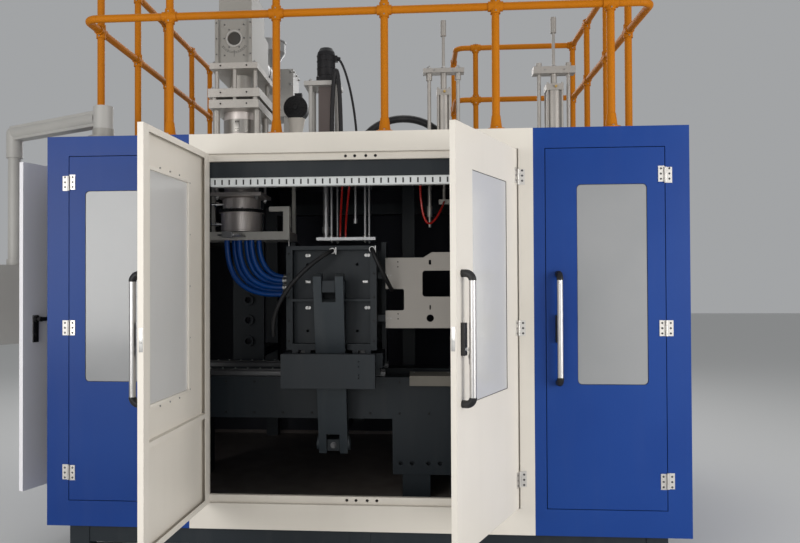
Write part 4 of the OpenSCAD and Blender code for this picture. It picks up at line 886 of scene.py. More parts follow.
@dataclass
class Workshop:
    """Adds finished pieces to the scene.

    Args:
        materials: The machine's materials.
        place_group: The Geometry Nodes group for pieces at spots.
        line_group: The Geometry Nodes group for pieces in a row.
        templates: The pieces that repeats copy, by name.
        spin_seed: Seed of the turn of each screw round its own axis.
    """

    materials: Materials
    place_group: bpy.types.NodeTree = field(default_factory=place_pieces_group)
    line_group: bpy.types.NodeTree = field(default_factory=row_group)
    templates: dict[str, bpy.types.Object] = field(default_factory=dict)
    spin_seed: int = 7

    def add(
        self, name: str, shape: Shape, look: Finish | str, body: str = ROOT, slot: Finish | None = None
    ) -> bpy.types.Object:
        """Adds a piece that rides on a body.

        Args:
            name: The piece's name.
            shape: Its shape.
            look: Its finish.
            body: The body that it rides on.
            slot: The record's slot that it belongs to, where that isn't the finish itself; not used.

        Returns:
            The new object.
        """
        mesh = shape.mesh(name)
        mesh.materials.append(self.materials.get(look))
        return self._keep(name, mesh, body)

    def _keep(self, name: str, mesh: bpy.types.Mesh, body: str) -> bpy.types.Object:
        """Links a mesh as a piece that rides on a body.

        Args:
            name: The piece's name.
            mesh: Its mesh, at its place.
            body: The body that it rides on.

        Returns:
            The new object.
        """
        piece = link(name, mesh)
        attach(piece, body)
        LOG.info("%s on %s", name, body)
        return piece

    def template(self, make: Callable[[], Shape]) -> bpy.types.Object:
        """Returns the object that repeats copy, made once and removed at the end."""
        name = make.__name__
        if name not in self.templates:
            self.templates[name] = link(name, make().mesh(name))
        return self.templates[name]

    def _apply(
        self, name: str, base: bpy.types.Mesh, group: bpy.types.NodeTree, values: dict[str, object]
    ) -> bpy.types.Mesh:
        """Runs a Geometry Nodes group on a base mesh.

        Args:
            name: The name of the mesh that it makes.
            base: The mesh that it starts from.
            group: The group.
            values: Its inputs' values, by name.

        Returns:
            The plain mesh that it makes.
        """
        carrier = link(name + "_base", base)
        modifier = carrier.modifiers.new("nodes", "NODES")
        modifier.node_group = group
        for item in group.interface.items_tree:
            if item.item_type == "SOCKET" and item.in_out == "INPUT" and item.name in values:
                modifier[item.identifier] = values[item.name]
        carrier.update_tag()
        bpy.context.view_layer.update()
        mesh = bpy.data.meshes.new_from_object(carrier.evaluated_get(bpy.context.evaluated_depsgraph_get()))
        mesh.name = name
        bpy.data.objects.remove(carrier)
        return mesh

    def scatter(
        self,
        name: str,
        make: Callable[[], Shape],
        places: Sequence[Spot],
        look: Finish | str = Finish.STEEL,
        body: str = ROOT,
        slot: Finish | None = None,
        size: float = 1.0,
    ) -> bpy.types.Object:
        """Sets a template on every spot, as one piece.

        Args:
            name: The piece's name.
            make: What makes the template.
            places: The spots.
            look: Its finish.
            body: The body that it rides on.
            slot: The record's slot that it belongs to, where that isn't the finish itself; not used.
            size: The template's scale.

        Returns:
            The new object.
        """
        base = bpy.data.meshes.new(name + "_points")
        base.from_pydata([tuple(s.place) for s in places], [], [])
        attribute = base.attributes.new("facing", "FLOAT_VECTOR", "POINT")
        for k, spot in enumerate(places):
            attribute.data[k].vector = spot.facing
        finish = self.materials.get(look)
        values = {"Piece": self.template(make), "Size": size, "Seed": self.spin_seed, "Finish": finish}
        return self._keep(name, self._apply(name, base, self.place_group, values), body)

    def row(
        self, name: str, make: Callable[[], Shape], count: int, start: Vector, step: Vector, look: Finish
    ) -> bpy.types.Object:
        """Repeats a template along a line, as one piece that stands still.

        Args:
            name: The piece's name.
            make: What makes the template.
            count: How many times it is repeated.
            start: The first place, in metres.
            step: From one place to the next, in metres.
            look: Its finish.

        Returns:
            The new object.
        """
        base = bpy.data.meshes.new(name + "_line")
        base.from_pydata([(0.0, 0.0, 0.0)], [], [])
        finish = self.materials.get(look)
        values = {"Piece": self.template(make), "Count": count, "Start": start, "Step": step, "Finish": finish}
        return self._keep(name, self._apply(name, base, self.line_group, values), ROOT)

    def close(self) -> None:
        """Removes the templates."""
        for piece in self.templates.values():
            bpy.data.objects.remove(piece)
        self.templates.clear()


def link(name: str, data: bpy.types.ID) -> bpy.types.Object:
    """Makes an object of a mesh, a curve, a light or a camera, and adds it to the scene.

    Args:
        name: The object's name.
        data: What it shows.

    Returns:
        The new object.
    """
    made = bpy.data.objects.new(name, data)
    bpy.context.scene.collection.objects.link(made)
    return made


# --------------------------------------------------------------------------- templates


def turned(*parts: tuple[Sequence[tuple[float, float]], int]) -> Shape:
    """Makes a shape of turned bodies that stand on the origin.

    Args:
        *parts: The outline and the number of sides of each.

    Returns:
        The shape.
    """
    shape = Shape()
    for profile, steps in parts:
        shape.lathe(profile, Matrix(), steps)
    return shape


def cap_screw() -> Shape:
    """Socket head cap screw of 10 mm head, standing on Z = 0."""
    return turned(([(5.0, 0.0), (5.0, 4.4), (4.6, 5.0), (2.9, 5.0), (2.7, 2.2), (0.0, 2.2)], 16))


def flat_screw() -> Shape:
    """Countersunk screw head of 8 mm, flush with Z = 0, with a recess."""
    return turned(([(4.2, 0.0), (4.0, 0.35), (1.5, 0.5), (1.0, -0.6), (0.0, -0.8)], 14))


def hex_nut() -> Shape:
    """Hexagon nut with washer and thread end, 17 mm across, standing on Z = 0."""
    return turned(
        ([(11.5, 0.0), (11.5, 1.6), (9.8, 1.6)], 20),
        ([(9.8, 1.6), (9.8, 9.0), (8.6, 10.0), (5.0, 10.0)], 6),
        ([(5.0, 9.0), (5.0, 14.0), (4.2, 15.0), (0.0, 15.0)], 12),
    )


def hose_fitting() -> Shape:
    """Push-in fitting with a hexagon and a collar, standing on Z = 0."""
    return turned(
        ([(9.0, 0.0), (9.0, 7.0), (8.0, 8.0)], 6),
        ([(7.0, 7.0), (7.0, 15.0), (8.4, 15.6), (8.4, 19.0), (7.4, 20.0), (5.0, 20.0)], 18),
    )


def band_clamp() -> Shape:
    """Clamp bar and terminal box of a heater band, round the barrel's axis."""
    bar = Shape().block((-9, 12, 80), (9, 93, 92), 2.0)
    return bar.block((-26, 20, -12), (26, 85, 12), 3.0, Matrix.Translation(mm(-92, 0, 0)))


# --------------------------------------------------------------------------- doors


@dataclass(frozen=True)
class Door:
    """One hinged door at rest.

    Args:
        name: The door's node and body.
        hinge: X and Y of its hinge pin, in millimetres.
        turn: Angle of its own frame about Z, in degrees.
        mirrored: True where it is hung on the right.
        width: Width of its leaf, in millimetres.
        window: Span of its window along the door, if it has one, in millimetres.
        finish: The slot of its paint.
        paint: The name of its paint.
        closed: The angle of its own frame when it is shut, in degrees.
    """

    name: str
    hinge: tuple[float, float]
    turn: float
    mirrored: bool
    width: float
    window: tuple[float, float] | None
    finish: Finish
    paint: str
    closed: float = 0.0

    def place(self, turn: float) -> Matrix:
        """Makes the matrix from the door's own frame to the machine's, with the door at an angle in degrees."""
        matrix = Matrix.Translation(mm(*self.hinge, 0)) @ Matrix.Rotation(math.radians(turn), 4, "Z")
        return matrix @ Matrix.Scale(-1, 4, Vector((1, 0, 0))) if self.mirrored else matrix

    def spots(self, facing: Vector, places: Iterable[Sequence[float]], turn: float | None = None) -> list[Spot]:
        """Makes spots in the door's own frame.

        Args:
            facing: Where they face in that frame.
            places: Their places in it, in millimetres.
            turn: The angle that the door is at, where that isn't its rest.

        Returns:
            The spots in the machine's frame.
        """
        matrix = self.place(self.turn if turn is None else turn)
        outward = (matrix.to_3x3() @ facing).normalized()
        return [Spot(matrix @ mm(*place), outward) for place in places]


WHITE, BLUE = (Finish.CREAM_PAINT, "cream_paint"), (Finish.BLUE_PAINT, "blue_paint")
DOORS: tuple[Door, ...] = (
    Door("left_white_door", (-846, -1306.5), -93.2, False, 842, (274, 749), *WHITE),
    Door("right_white_door", (846, -1306.5), 65.0, True, 842, (172, 647), *WHITE),
    Door("left_blue_door", (-1601, -1306.5), 0.0, False, 610, (92, 452), *BLUE),
    Door("right_blue_door", (1601, -1306.5), 0.0, True, 610, (92, 452), *BLUE),
    # The side door's paint is a lighter, bluer copy of the cream: painted light and painted blue reflection.
    Door("side_door", (-1731.5, -404), -108.0, False, 782, None, Finish.CREAM_PAINT, "side_door_paint", -90.0),
)


@dataclass
class DoorDress:
    """Dresses the doors: bare hinge leaves, screws, window beads, handle ends, locks and keys.

    Args:
        shop: Adds the pieces.
        face: From a hinge pin to the leaf's outer face.
        thickness: The leaf's thickness.
        hinge_z: Heights of the hinges.
        hinge_reach: From a hinge pin to the screws of its leaves.
        hinge_step: From one screw of a hinge leaf to the next.
        window_z: Span of the windows' height.
        rim: From a window to its screws.
        frame_width: Width of the retaining frame.
        handle_inset: From the leaf's free edge to the handle.
        lock_z: Height of the lock's cylinder.
        latch_z: Height of the latch.
        lever_x: From the side door's hinge pin to its lever.
    """

    shop: Workshop
    face: float = 6.5
    thickness: float = 28.0
    hinge_z: tuple[float, ...] = (2087.88, 1285.0, 490.66)
    hinge_reach: float = 21.5
    hinge_step: float = 27.0
    window_z: tuple[float, float] = (990.0, 2038.0)
    rim: float = 22.0
    frame_width: float = 14.0
    handle_inset: float = 62.0
    lock_z: float = 1238.0
    latch_z: float = 1285.0
    lever_x: float = 696.0

    def build(self) -> None:
        """Dresses every door."""
        fixed: list[Spot] = []
        heights = [z + dz for z in self.hinge_z for dz in (-self.hinge_step, 0.0, self.hinge_step)]
        for door in DOORS:
            fixed += door.spots(FRONT, [(-self.hinge_reach, self.face - 3, z) for z in heights], door.closed)
            moving = door.spots(FRONT, [(self.hinge_reach, self.face - 3, z) for z in heights])
            self._screws(f"{door.name}_hinge_screws", moving, door.name)
            self._paint(door)
            if door.window:
                self._window(door, *door.window, *self.window_z)
                self._handle(door, 2 + door.width)
            else:
                self._lock_plate(door)
            if door.paint == "cream_paint":
                self._latch(door, 2 + door.width)
                # The white doors' panes get the frosted plastic painted much lighter: painted light.
                dress(door.name.replace("_door", "_window"), self.shop.materials.get("lit_pane"))
        self._screws("frame_hinge_screws", fixed, ROOT)

    def _screws(self, name: str, places: list[Spot], body: str) -> None:
        """Adds countersunk screws at the spots."""
        self.shop.scatter(name, flat_screw, places, "dark_recess", body, Finish.STEEL, 1.35)

    def _lock_plate(self, door: Door) -> None:
        """Adds the black plate and the key cylinder under the lever inside the side door."""
        x, inside = self.lever_x, self.face + self.thickness
        place = door.place(door.turn)
        plate = Shape().block((x - 20.5, inside + 0.5, 1186.5), (x + 20.5, inside + 9.2, 1344.5), 1.5, place)
        spot = door.spots(BACK, [(x, inside + 9.2, 1232)])[0]
        plate.lathe([(10, 0), (10, 3), (8.5, 4), (0, 4)], at(spot.place, spot.facing), 20)
        self.shop.add(f"{door.name}_lock_plate", plate, Finish.BLACK_PLASTIC, door.name)

    def _paint(self, door: Door) -> None:
        """Paints a door, with bare metal on the hinge leaves that turn with it."""
        inward = (door.place(door.turn).to_3x3() @ BACK).normalized()
        axis = mm(*door.hinge, 0)
        bands = [Band(axis, 35.6, z, 41.5, self.face + 0.2, inward) for z in self.hinge_z]
        dress(door.name, self.shop.materials.banded(f"{door.name}_paint", door.paint, "hinge_steel", *bands))

    def _window(self, door: Door, x0: float, x1: float, z0: float, z1: float) -> None:
        """Adds the retaining frame with its screws, and the bead round the pane.

        Args:
            door: The door.
            x0: Where its window starts along the door.
            x1: Where it ends.
            z0: Its lower edge.
            z1: Its upper edge.
        """
        shop = self.shop
        inner = self.face + 12.0
        rim, width = self.rim, self.frame_width
        places = [(x, inner, z0 + (z1 - z0) * k / 4) for k in range(5) for x in (x0 - rim, x1 + rim)]
        places += [(x0 + (x1 - x0) * k / 4, inner, z) for k in range(1, 4) for z in (z0 - rim, z1 + rim)]
        shop.scatter(f"{door.name}_window_screws", cap_screw, door.spots(BACK, places), body=door.name, size=0.85)
        matrix = door.place(door.turn)
        ring = Shape()
        for a0, a1, b0, b1 in (
            (x0 - width, x0 + 1, z0 - width, z1 + width), (x1 - 1, x1 + width, z0 - width, z1 + width),
            (x0 + 1, x1 - 1, z0 - width, z0 + 1), (x0 + 1, x1 - 1, z1 - 1, z1 + width),
        ):
            ring.block((a0, inner - 4, b0), (a1, inner + 5, b1), 1.2, matrix)
        shop.add(f"{door.name}_retaining_frame", ring, door.finish, door.name)
        corner = 22.0 if door.finish is Finish.BLUE_PAINT else 2.5
        path = [
            matrix @ mm((x0 + x1) / 2 + x, self.face + 2.2, (z0 + z1) / 2 + z)
            for x, z in rounded_outline(x1 - x0 - 2, z1 - z0 - 2, corner, 6)
        ]
        bead = Shape().tube(path, 1.3, 6, closed=True)
        shop.add(f"{door.name}_window_bead", bead, Finish.BLACK_PLASTIC, door.name)

    def _handle(self, door: Door, edge: float) -> None:
        """Gives the handle black ends, and adds the lock's cylinder.

        Args:
            door: The door.
            edge: The leaf's free edge, along the door.
        """
        shop = self.shop
        x = edge - self.handle_inset
        axis = door.place(door.turn) @ mm(x, self.face - 50, 0)
        handle = door.name.replace("_door", "_handle")
        grip = Band(axis, 16.5, 1284.0, 253.5)
        dress(handle, shop.materials.banded(f"{handle}_finish", "black_plastic", "handle_grip", grip))
        front = door.spots(FRONT, [(x, self.face - 18, self.lock_z)])[0]
        place = at(front.place, front.facing, UP)
        cylinder = Shape().lathe([(9.0, 0.0), (9.0, 2.0), (8.0, 2.8), (1.6, 2.8)], place)
        cylinder.block((-0.9, -3.6, 2.4), (0.9, 3.6, 3.2), 0.1, place)
        shop.add(f"{door.name}_lock_cylinder", cylinder, Finish.CHROME, door.name)
        if door.name == "right_white_door":
            self._keys(door, x, self.face - 21)

    def _keys(self, door: Door, x: float, y: float) -> None:
        """Adds the key in the lock, with the ring and the second key that hang from it.

        Args:
            door: The door whose lock holds the key.
            x: The lock's place along the door.
            y: The front of the lock's cylinder.
        """
        z = self.lock_z
        matrix = door.place(door.turn)
        bow = [(9.6, -1.0), (10.5, -0.4), (10.5, 0.4), (9.6, 1.0)]
        keys = Shape().lathe(bow, matrix @ at(mm(x, y - 16, z), Vector((1, 0, 0))))
        keys.block((x - 1, y - 7, z - 3.2), (x + 1, y + 2, z + 3.2), 0.3, matrix)
        keys.tube([matrix @ mm(x + dx, y - 12, z - 9 + dz) for dx, dz in arc(11, 24)], 0.9, 6, closed=True)
        keys.lathe(bow, matrix @ at(mm(x + 2, y - 12, z - 29), BACK))
        keys.block((x - 1.2, y - 13, z - 63), (x + 5.2, y - 11, z - 38), 0.4, matrix)
        self.shop.add(f"{door.name}_keys", keys, "hinge_steel", door.name, Finish.STEEL)

    def _latch(self, door: Door, edge: float) -> None:
        """Adds the latch's plate in the free edge, with its bolt.

        Args:
            door: The door.
            edge: The leaf's free edge, along the door.
        """
        spot = door.spots(Vector((1, 0, 0)), [(edge, self.face + 16, self.latch_z)])[0]
        place = at(spot.place, spot.facing, UP)
        latch = Shape().block((-52, -9, -0.4), (52, 9, 0.6), 0.3, place)
        latch.block((-14, -6, 0.4), (14, 6, 1.0), 0.2, place)
        self.shop.add(f"{door.name}_latch", latch, Finish.STEEL, door.name)


NODE_LOOKS: dict[Finish | str, tuple[str, ...]] = {
    Finish.FRAME_PAINT: ("base_frame", "bed_frame", "portal_frame", "carriage", "front_platen", "rear_platen"),
    Finish.TRAY_PAINT: ("floor_tray",),
    Finish.STEEL: ("roof_deck", "extruder_barrel", "hopper"),
    Finish.BLUE_PAINT: ("left_front_panel", "left_side_panel", "right_front_panel", "right_side_panel"),
    Finish.WHITE_PLASTIC: ("cable_duct",),
    Finish.ORANGE_PAINT: ("guard_posts", "guard_rails"),
    Finish.GREY_PAINT: ("control_arm", "control_panel", "extruder_drive", "blow_unit_frame"),
    Finish.CAST: (
        "head_plates", "deflash_cylinder", "ejector_cylinder", "deflash_crosshead", "ejector_crosshead",
    ),
    Finish.BLACK_PLASTIC: ("side_door_lever",),
    "frosted_pane": ("left_blue_window", "right_blue_window"),
    "cutter_paint": ("parison_cutter",),
    # Painted shade: the grey paint made darker on the head box and the pedestal.
    "head_paint": ("head_box", "arm_pedestal"),
    "ground_steel": ("blow_pin", "cutter_knife"),
    # The die's turned steel carries painted light: lighter and warmer than bare steel.
    "turned_steel": ("die_body",),
    "hinge_steel": ("hinge_leaves",),
    "oiled_steel": ("carriage_rails", "platen_slideways"),
    "lever_paint": ("rocker_lever",),
    "bare_board": ("takeout_tray",),
    # The centre front panel takes the cream paint made darker: painted shade.
    "front_cream": ("centre_front_panel",),
}


# --------------------------------------------------------------------------- hoses


BAY_Y = STATION_Y - 150.0
RED_TOP = 2234.0 - GAP
RUN_STEPS = 24


@dataclass(frozen=True)
class Hose:
    """A hose with both ends on the machine.

    Args:
        name: The piece's name.
        guides: The four guide points of its run, in millimetres.
        diameter: Its diameter, in millimetres.
        node: The node that its solid is in.
        finish: The record's slot that it belongs to.
        look: Its finish, where that isn't the slot's own.
        body: The body that it rides on.
        stiffness: How stiff it is; not used.
        follows: The moving body at its far end, if any; such a hose is made a plain mesh.
        flexed_at: The point where it would take up that body's whole motion, in millimetres; not used.
    """

    name: str
    guides: tuple[Point, ...]
    diameter: float
    node: str
    finish: Finish = Finish.HOSE_BLACK
    look: str | None = None
    body: str = ROOT
    stiffness: str = "medium"
    follows: str = ""
    flexed_at: Point = (0.0, 0.0, 0.0)

    def points(self) -> list[Vector]:
        """Returns points along the run, in metres."""
        a, b, c, d = (mm(*g) for g in self.guides)
        return [
            a * (1 - t) ** 3 + b * 3 * (1 - t) ** 2 * t + c * 3 * (1 - t) * t * t + d * t**3
            for t in (k / RUN_STEPS for k in range(RUN_STEPS + 1))
        ]


def arch(x0: float, x1: float, y: float, top: float) -> tuple[Point, ...]:
    """Makes the four guides of an arch that stands on the roof, from x0 to x1."""
    return (x0, y, ROOF_Z + GAP), (x0, y, top), (x1, y, top), (x1, y, ROOF_Z + GAP)


def water_hose(i: int) -> Hose:
    """Makes a blue hose from the cutter's bracket to the manifold.

    Args:
        i: Its number in the bundle, from 0.

    Returns:
        The hose.
    """
    x, y = DIE_X - 60 + 40 * i, BAY_Y + 36 * (i % 2)
    bend = (DIE_X + 45 + 34 * i, y, CUTTER_Z - 368 + 23 * i)
    run = (x, y, CUTTER_Z - GAP), (x, y, CUTTER_Z - 255 + 20 * i), bend, (DIE_X + 330, y, CUTTER_Z - 344 + 22 * i)
    return Hose(f"blue_hose_{i + 1}", run, 34, "water_hoses", Finish.HOSE_COLOUR, stiffness="limp")


def air_hose(number: int, top_x: float, foot_x: float) -> Hose:
    """Makes a red hose from the front roof beam to the blow plate.

    Args:
        number: Its number.
        top_x: X of its upper end, in millimetres.
        foot_x: X of its lower end, in millimetres.

    Returns:
        The hose.
    """
    foot_z = BLOW_PLATE_Z + GAP
    run = (top_x, -650, RED_TOP), (top_x, -650, 2080), (foot_x, -470, 1990), (foot_x, -470, foot_z)
    return Hose(
        f"red_hose_{number}", run, 13, "air_hoses", Finish.HOSE_COLOUR, "red_hose",
        follows="blow_pin", flexed_at=(top_x, -650, foot_z),
    )


HOSES: tuple[Hose, ...] = (
    Hose("roof_arch_hose", arch(520, -80, -320, 2704), 50, "roof_hoses"),
    Hose("servo_power_loop", arch(SCREW_X + 50, SCREW_X + 110, -552, 3064), 28, "roof_hoses"),
    Hose(
        "servo_signal_cable",
        (
            (SCREW_X + 76 + GAP, STATION_Y, 2994), (SCREW_X + 114, STATION_Y, 2994),
            (SCREW_X + 204, STATION_Y, 2700), (SCREW_X + 204, STATION_Y, ROOF_Z + GAP),
        ),
        16, "roof_hoses",
    ),
    *(water_hose(i) for i in range(6)),
    air_hose(1, -150, -185),
    air_hose(2, -105, -150),
    Hose(
        "red_hose_3",
        (
            (330, -640, RED_TOP), (330, -640, 1600),
            (DEFLASH_X, -600, 2045), (DEFLASH_X, STATION_Y - 20 - GAP, 2045),
        ),
        14, "air_hoses", Finish.HOSE_COLOUR, "red_hose",
        follows="deflash_crosshead", flexed_at=(DEFLASH_X, -640, RED_TOP),
    ),
    Hose(
        "platen_hose_left",
        (
            (CLAMP_X + 8, PLATEN_Y - GAP, PLATEN_TOP - 30), (CLAMP_X + 8, PLATEN_Y - 115, PLATEN_TOP - 30),
            (CLAMP_X - 362, PLATEN_Y - 115, PLATEN_TOP - 246), (CLAMP_X - 342, PLATEN_Y - 30, PLATEN_TOP - 536),
        ),
        26, "platen_hoses", body="front_platen",
    ),
    Hose(
        "platen_hose_right",
        (
            (CLAMP_X + 244, PLATEN_Y - GAP, PLATEN_TOP - 22), (CLAMP_X + 244, PLATEN_Y - 90, PLATEN_TOP - 22),
            (CLAMP_X + 358, MASK_Y - 144, PLATEN_TOP - 266), (CLAMP_X + 358, MASK_Y - GAP, PLATEN_TOP - 266),
        ),
        26, "platen_hoses", body="front_platen",
    ),
)


@dataclass
class HoseDress:
    """Draws the hoses.

    Args:
        shop: Holds the materials.
        roundness: The resolution of their round section.
    """

    shop: Workshop
    roundness: int = 3

    def build(self) -> None:
        for hose in HOSES:
            points = hose.points()
            piece = self._curve(hose, points)
            if hose.follows:
                piece = self._flexing(piece, hose)
            else:
                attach(piece, hose.body)
            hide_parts(hose.node)
            LOG.info("%s on %s", hose.name, hose.body)

    def _curve(self, hose: Hose, points: list[Vector]) -> bpy.types.Object:
        """Draws a hose as a curve.

        Args:
            hose: The hose.
            points: The points of its run, in metres.

        Returns:
            The curve's object.
        """
        curve = bpy.data.curves.new(hose.name, "CURVE")
        curve.dimensions = "3D"
        curve.bevel_depth = hose.diameter / 2000
        curve.bevel_resolution = self.roundness
        curve.use_fill_caps = True
        spline = curve.splines.new("POLY")
        spline.points.add(len(points) - 1)
        for target, point in zip(spline.points, points):
            target.co = (*point, 1.0)
        spline.use_smooth = True
        curve.materials.append(self.shop.materials.get(hose.look or hose.finish))
        return link(hose.name, curve)

    def _flexing(self, piece: bpy.types.Object, hose: Hose) -> bpy.types.Object:
        """Makes a hose's curve a plain mesh with its place baked in.

        Args:
            piece: The curve's object, which is removed.
            hose: The hose.

        Returns:
            The mesh's object.
        """
        curve = piece.data
        mesh = bpy.data.meshes.new_from_object(piece.evaluated_get(bpy.context.evaluated_depsgraph_get()))
        bpy.data.objects.remove(piece)
        bpy.data.curves.remove(curve)
        mesh.name = hose.name
        flexed = link(hose.name, mesh)
        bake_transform(flexed)
        return flexed


# --------------------------------------------------------------------------- roof equipment


@dataclass
class GuardDress:
    """Adds the screws of the guard's posts.

    Args:
        shop: Adds the pieces.
        front_y: Y of the posts along the front.
        front_x: Their X.
        left_x: X of the posts along the left side.
        left_y: Their Y.
        right_x: X of the posts along the right side.
        right_y: Their Y.
        rear: The two posts behind.
        sleeve_z: Heights of the sleeves.
        sleeve_radius: From a post's axis to its sleeve's set screws.
        base_radius: From a post's axis to the screws of its base disc.
    """

    shop: Workshop
    front_y: float = FRONT_Y + 50
    front_x: tuple[float, ...] = (-1048, -451, 142, 739, 1343)
    left_x: float = -1534
    left_y: tuple[float, ...] = (-1036, -458, 112, 722, 1250)
    right_x: float = 1563
    right_y: tuple[float, ...] = (-775, -249, 321, 837)
    rear: tuple[tuple[float, float], ...] = ((788, 837), (630, 1250))
    sleeve_z: tuple[float, ...] = (ROOF_Z + 666, ROOF_Z + 1090)
    sleeve_radius: float = 27
    base_radius: float = 42

    def build(self) -> None:
        """Adds the set screws of the sleeves and the screws of the base discs."""
        posts = [(x, self.front_y) for x in self.front_x] + [(self.left_x, y) for y in self.left_y]
        posts += [(self.right_x, y) for y in self.right_y] + [*self.rear]
        sleeves = [(x, y - self.sleeve_radius, z + dz) for x, y in posts for z in self.sleeve_z for dz in (-30, 22)]
        self.shop.scatter("guard_set_screws", cap_screw, spots(FRONT, sleeves), size=0.8)
        base = [(x + dx, y + dy, ROOF_Z + 7) for x, y in posts for dx, dy in arc(self.base_radius, 3, 30)]
        self.shop.scatter("guard_base_screws", cap_screw, spots(UP, base), size=1.1)


@dataclass
class HeadDress:
    """Dresses the die head.

    Args:
        shop: Adds the pieces.
        face_y: Y of the head box's front.
        plates: Height above the roof and half width of each bolted plate.
        band_z: Heights of the heater bands above the roof.
    """

    shop: Workshop
    face_y: float = -613.0
    plates: tuple[tuple[float, float], ...] = ((586, 154), (422, 166), (351, 160))
    band_z: tuple[float, ...] = (30, 160)

    def build(self) -> None:
        """Adds all the head's small pieces."""
        self._port()
        self._scale()
        self._plates()
        self._heater_bands()
        self._die()

    def _on_face(self, x: float, z: float, out: float = 0.6) -> Vector:
        """Returns a place on the head's front, from the middle of its port."""
        return mm(DIE_X, self.face_y, PORT_Z) + mm(x, -out, z)

    def _port(self) -> None:
        """Adds the port's ring, its glass and the screws round it."""
        shop = self.shop
        place = at(self._on_face(0, 0, 0), FRONT)
        outline = [(54.0, -3.0), (54.0, 4.4), (52.5, 5.4), (45.0, 5.4), (43.5, 3.8), (42.0, -3.0), (54.0, -3.0)]
        shop.add("head_port_ring", Shape().lathe(outline, place, 48), Finish.GREY_PAINT)
        glass = Shape().lathe([(41.6, -30.0), (41.6, -8.0), (0.0, -8.0)], place, 40)
        shop.add("head_port_glass", glass, "port_glass", slot=Finish.BLACK_PLASTIC)
        screws = [*arc(64, 6), *((side * 62, dz) for side in SIDES for dz in (88, -108))]
        places = [Spot(self._on_face(x, z, 0), FRONT) for x, z in screws]
        shop.scatter("head_port_screws", cap_screw, places, "oiled_steel", slot=Finish.STEEL, size=0.9)

    def _scale(self) -> None:
        """Adds the scale engraved below the port: two arcs, thirteen marks and a middle line."""
        scale = Shape()
        low, high = 84.0, 93.0
        for radius in (low, high):
            scale.tube([self._on_face(x, z) for x, z in arc(radius, 21, 212, 116 / 20)], 0.9, 4)
        for k in range(13):
            ends = (low, high) if k % 3 else (low - 4, high + 4)
            scale.tube([self._on_face(*arc(r, 1, 214 + 112 * k / 12)[0]) for r in ends], 0.8, 4)
        scale.tube([self._on_face(0, -74, 0.8), self._on_face(0, -116, 0.8)], 1.1, 4)
        self.shop.add("head_scale", scale, "engraved_ink", slot=Finish.BLACK_PLASTIC)

    def _plates(self) -> None:
        """Adds the nuts on the plates and the screws in their front and in the cheeks."""
        shop = self.shop
        nuts = [
            (DIE_X + side * (half - 22), y, ROOF_Z + z)
            for z, half in self.plates for side in SIDES for y in (-605, -150)
        ]
        shop.scatter("head_plate_nuts", hex_nut, spots(UP, nuts), size=1.15)
        face = [(DIE_X + side * 84, -635, ROOF_Z + z) for side in SIDES for z in (567, 396, 325)]
        shop.scatter("head_face_screws", cap_screw, spots(FRONT, face), Finish.BLACK_PLASTIC)
        cheeks = [(DIE_X + side * 109, -633, ROOF_Z + z) for side in SIDES for z in (640, 740, 840)]
        shop.scatter("head_cheek_screws", cap_screw, spots(FRONT, cheeks), "oiled_steel", slot=Finish.STEEL, size=0.9)

    def _heater_bands(self) -> None:
        """Adds the heater bands of the head's neck, with their clamp screws."""
        bands = Shape()
        for z in self.band_z:
            place = at(mm(DIE_X, STATION_Y, ROOF_Z + z))
            bands.lathe([(112.6, 0), (116, 1.5), (116, 88.5), (112.6, 90)], place, 64)
            bands.block((-14, -124, 10), (14, -113, 80), 2.0, place)
        self.shop.add("head_heater_bands", bands, "band_steel", slot=Finish.CAST)
        clamps = [
            (DIE_X + dx, STATION_Y - 124, ROOF_Z + z + dz) for z in self.band_z for dz in (22, 68) for dx in (-7, 7)
        ]
        self.shop.scatter("head_band_screws", cap_screw, spots(FRONT, clamps), Finish.BLACK_PLASTIC, size=0.7)

    def _die(self) -> None:
        """Adds the die's rings, bolts, connectors and the nuts of its rods."""
        shop = self.shop
        ring = [(132.2, 0), (134.5, 1.5), (134.5, 108), (132.2, 110)]
        seal = [(148.2, 0), (149.4, 0.6), (149.4, 20.4), (148.2, 21)]
        band = Shape().lathe(ring, at(mm(DIE_X, STATION_Y, ROOF_Z - 470)), 72)
        # The ring band's steel is lightened as painted light.
        shop.add("die_ring_band", band, "turned_steel", slot=Finish.STEEL)
        clamp = Shape().lathe(seal, at(mm(DIE_X, STATION_Y, ROOF_Z - 354)), 72)
        shop.add("die_clamp_ring", clamp, Finish.BLACK_PLASTIC)
        bolts = [(DIE_X + dx, STATION_Y + dy, ROOF_Z - 333) for dx, dy in arc(136, 12, 15)]
        shop.scatter("die_ring_bolts", hex_nut, spots(UP, bolts), size=0.7)
        plugs = Shape()
        for z in (ROOF_Z - 301, ROOF_Z - 430):
            place = at(mm(DIE_X - 107, STATION_Y - 56, z), Vector((-0.9, -0.4, 0)))
            plugs.lathe([(11, 0), (11, 30), (15, 31), (15, 52), (9, 54), (9, 78), (0, 79)], place, 18)
        shop.add("die_connectors", plugs, Finish.CHROME)
        rods = [
            Spot(mm(DIE_X + sx * 130, STATION_Y + sy * 130, ROOF_Z + z), facing)
            for sx in SIDES for sy in SIDES for z, facing in ((-232, UP), (-254, DOWN))
        ]
        shop.scatter("die_rod_nuts", hex_nut, rods, size=1.6)


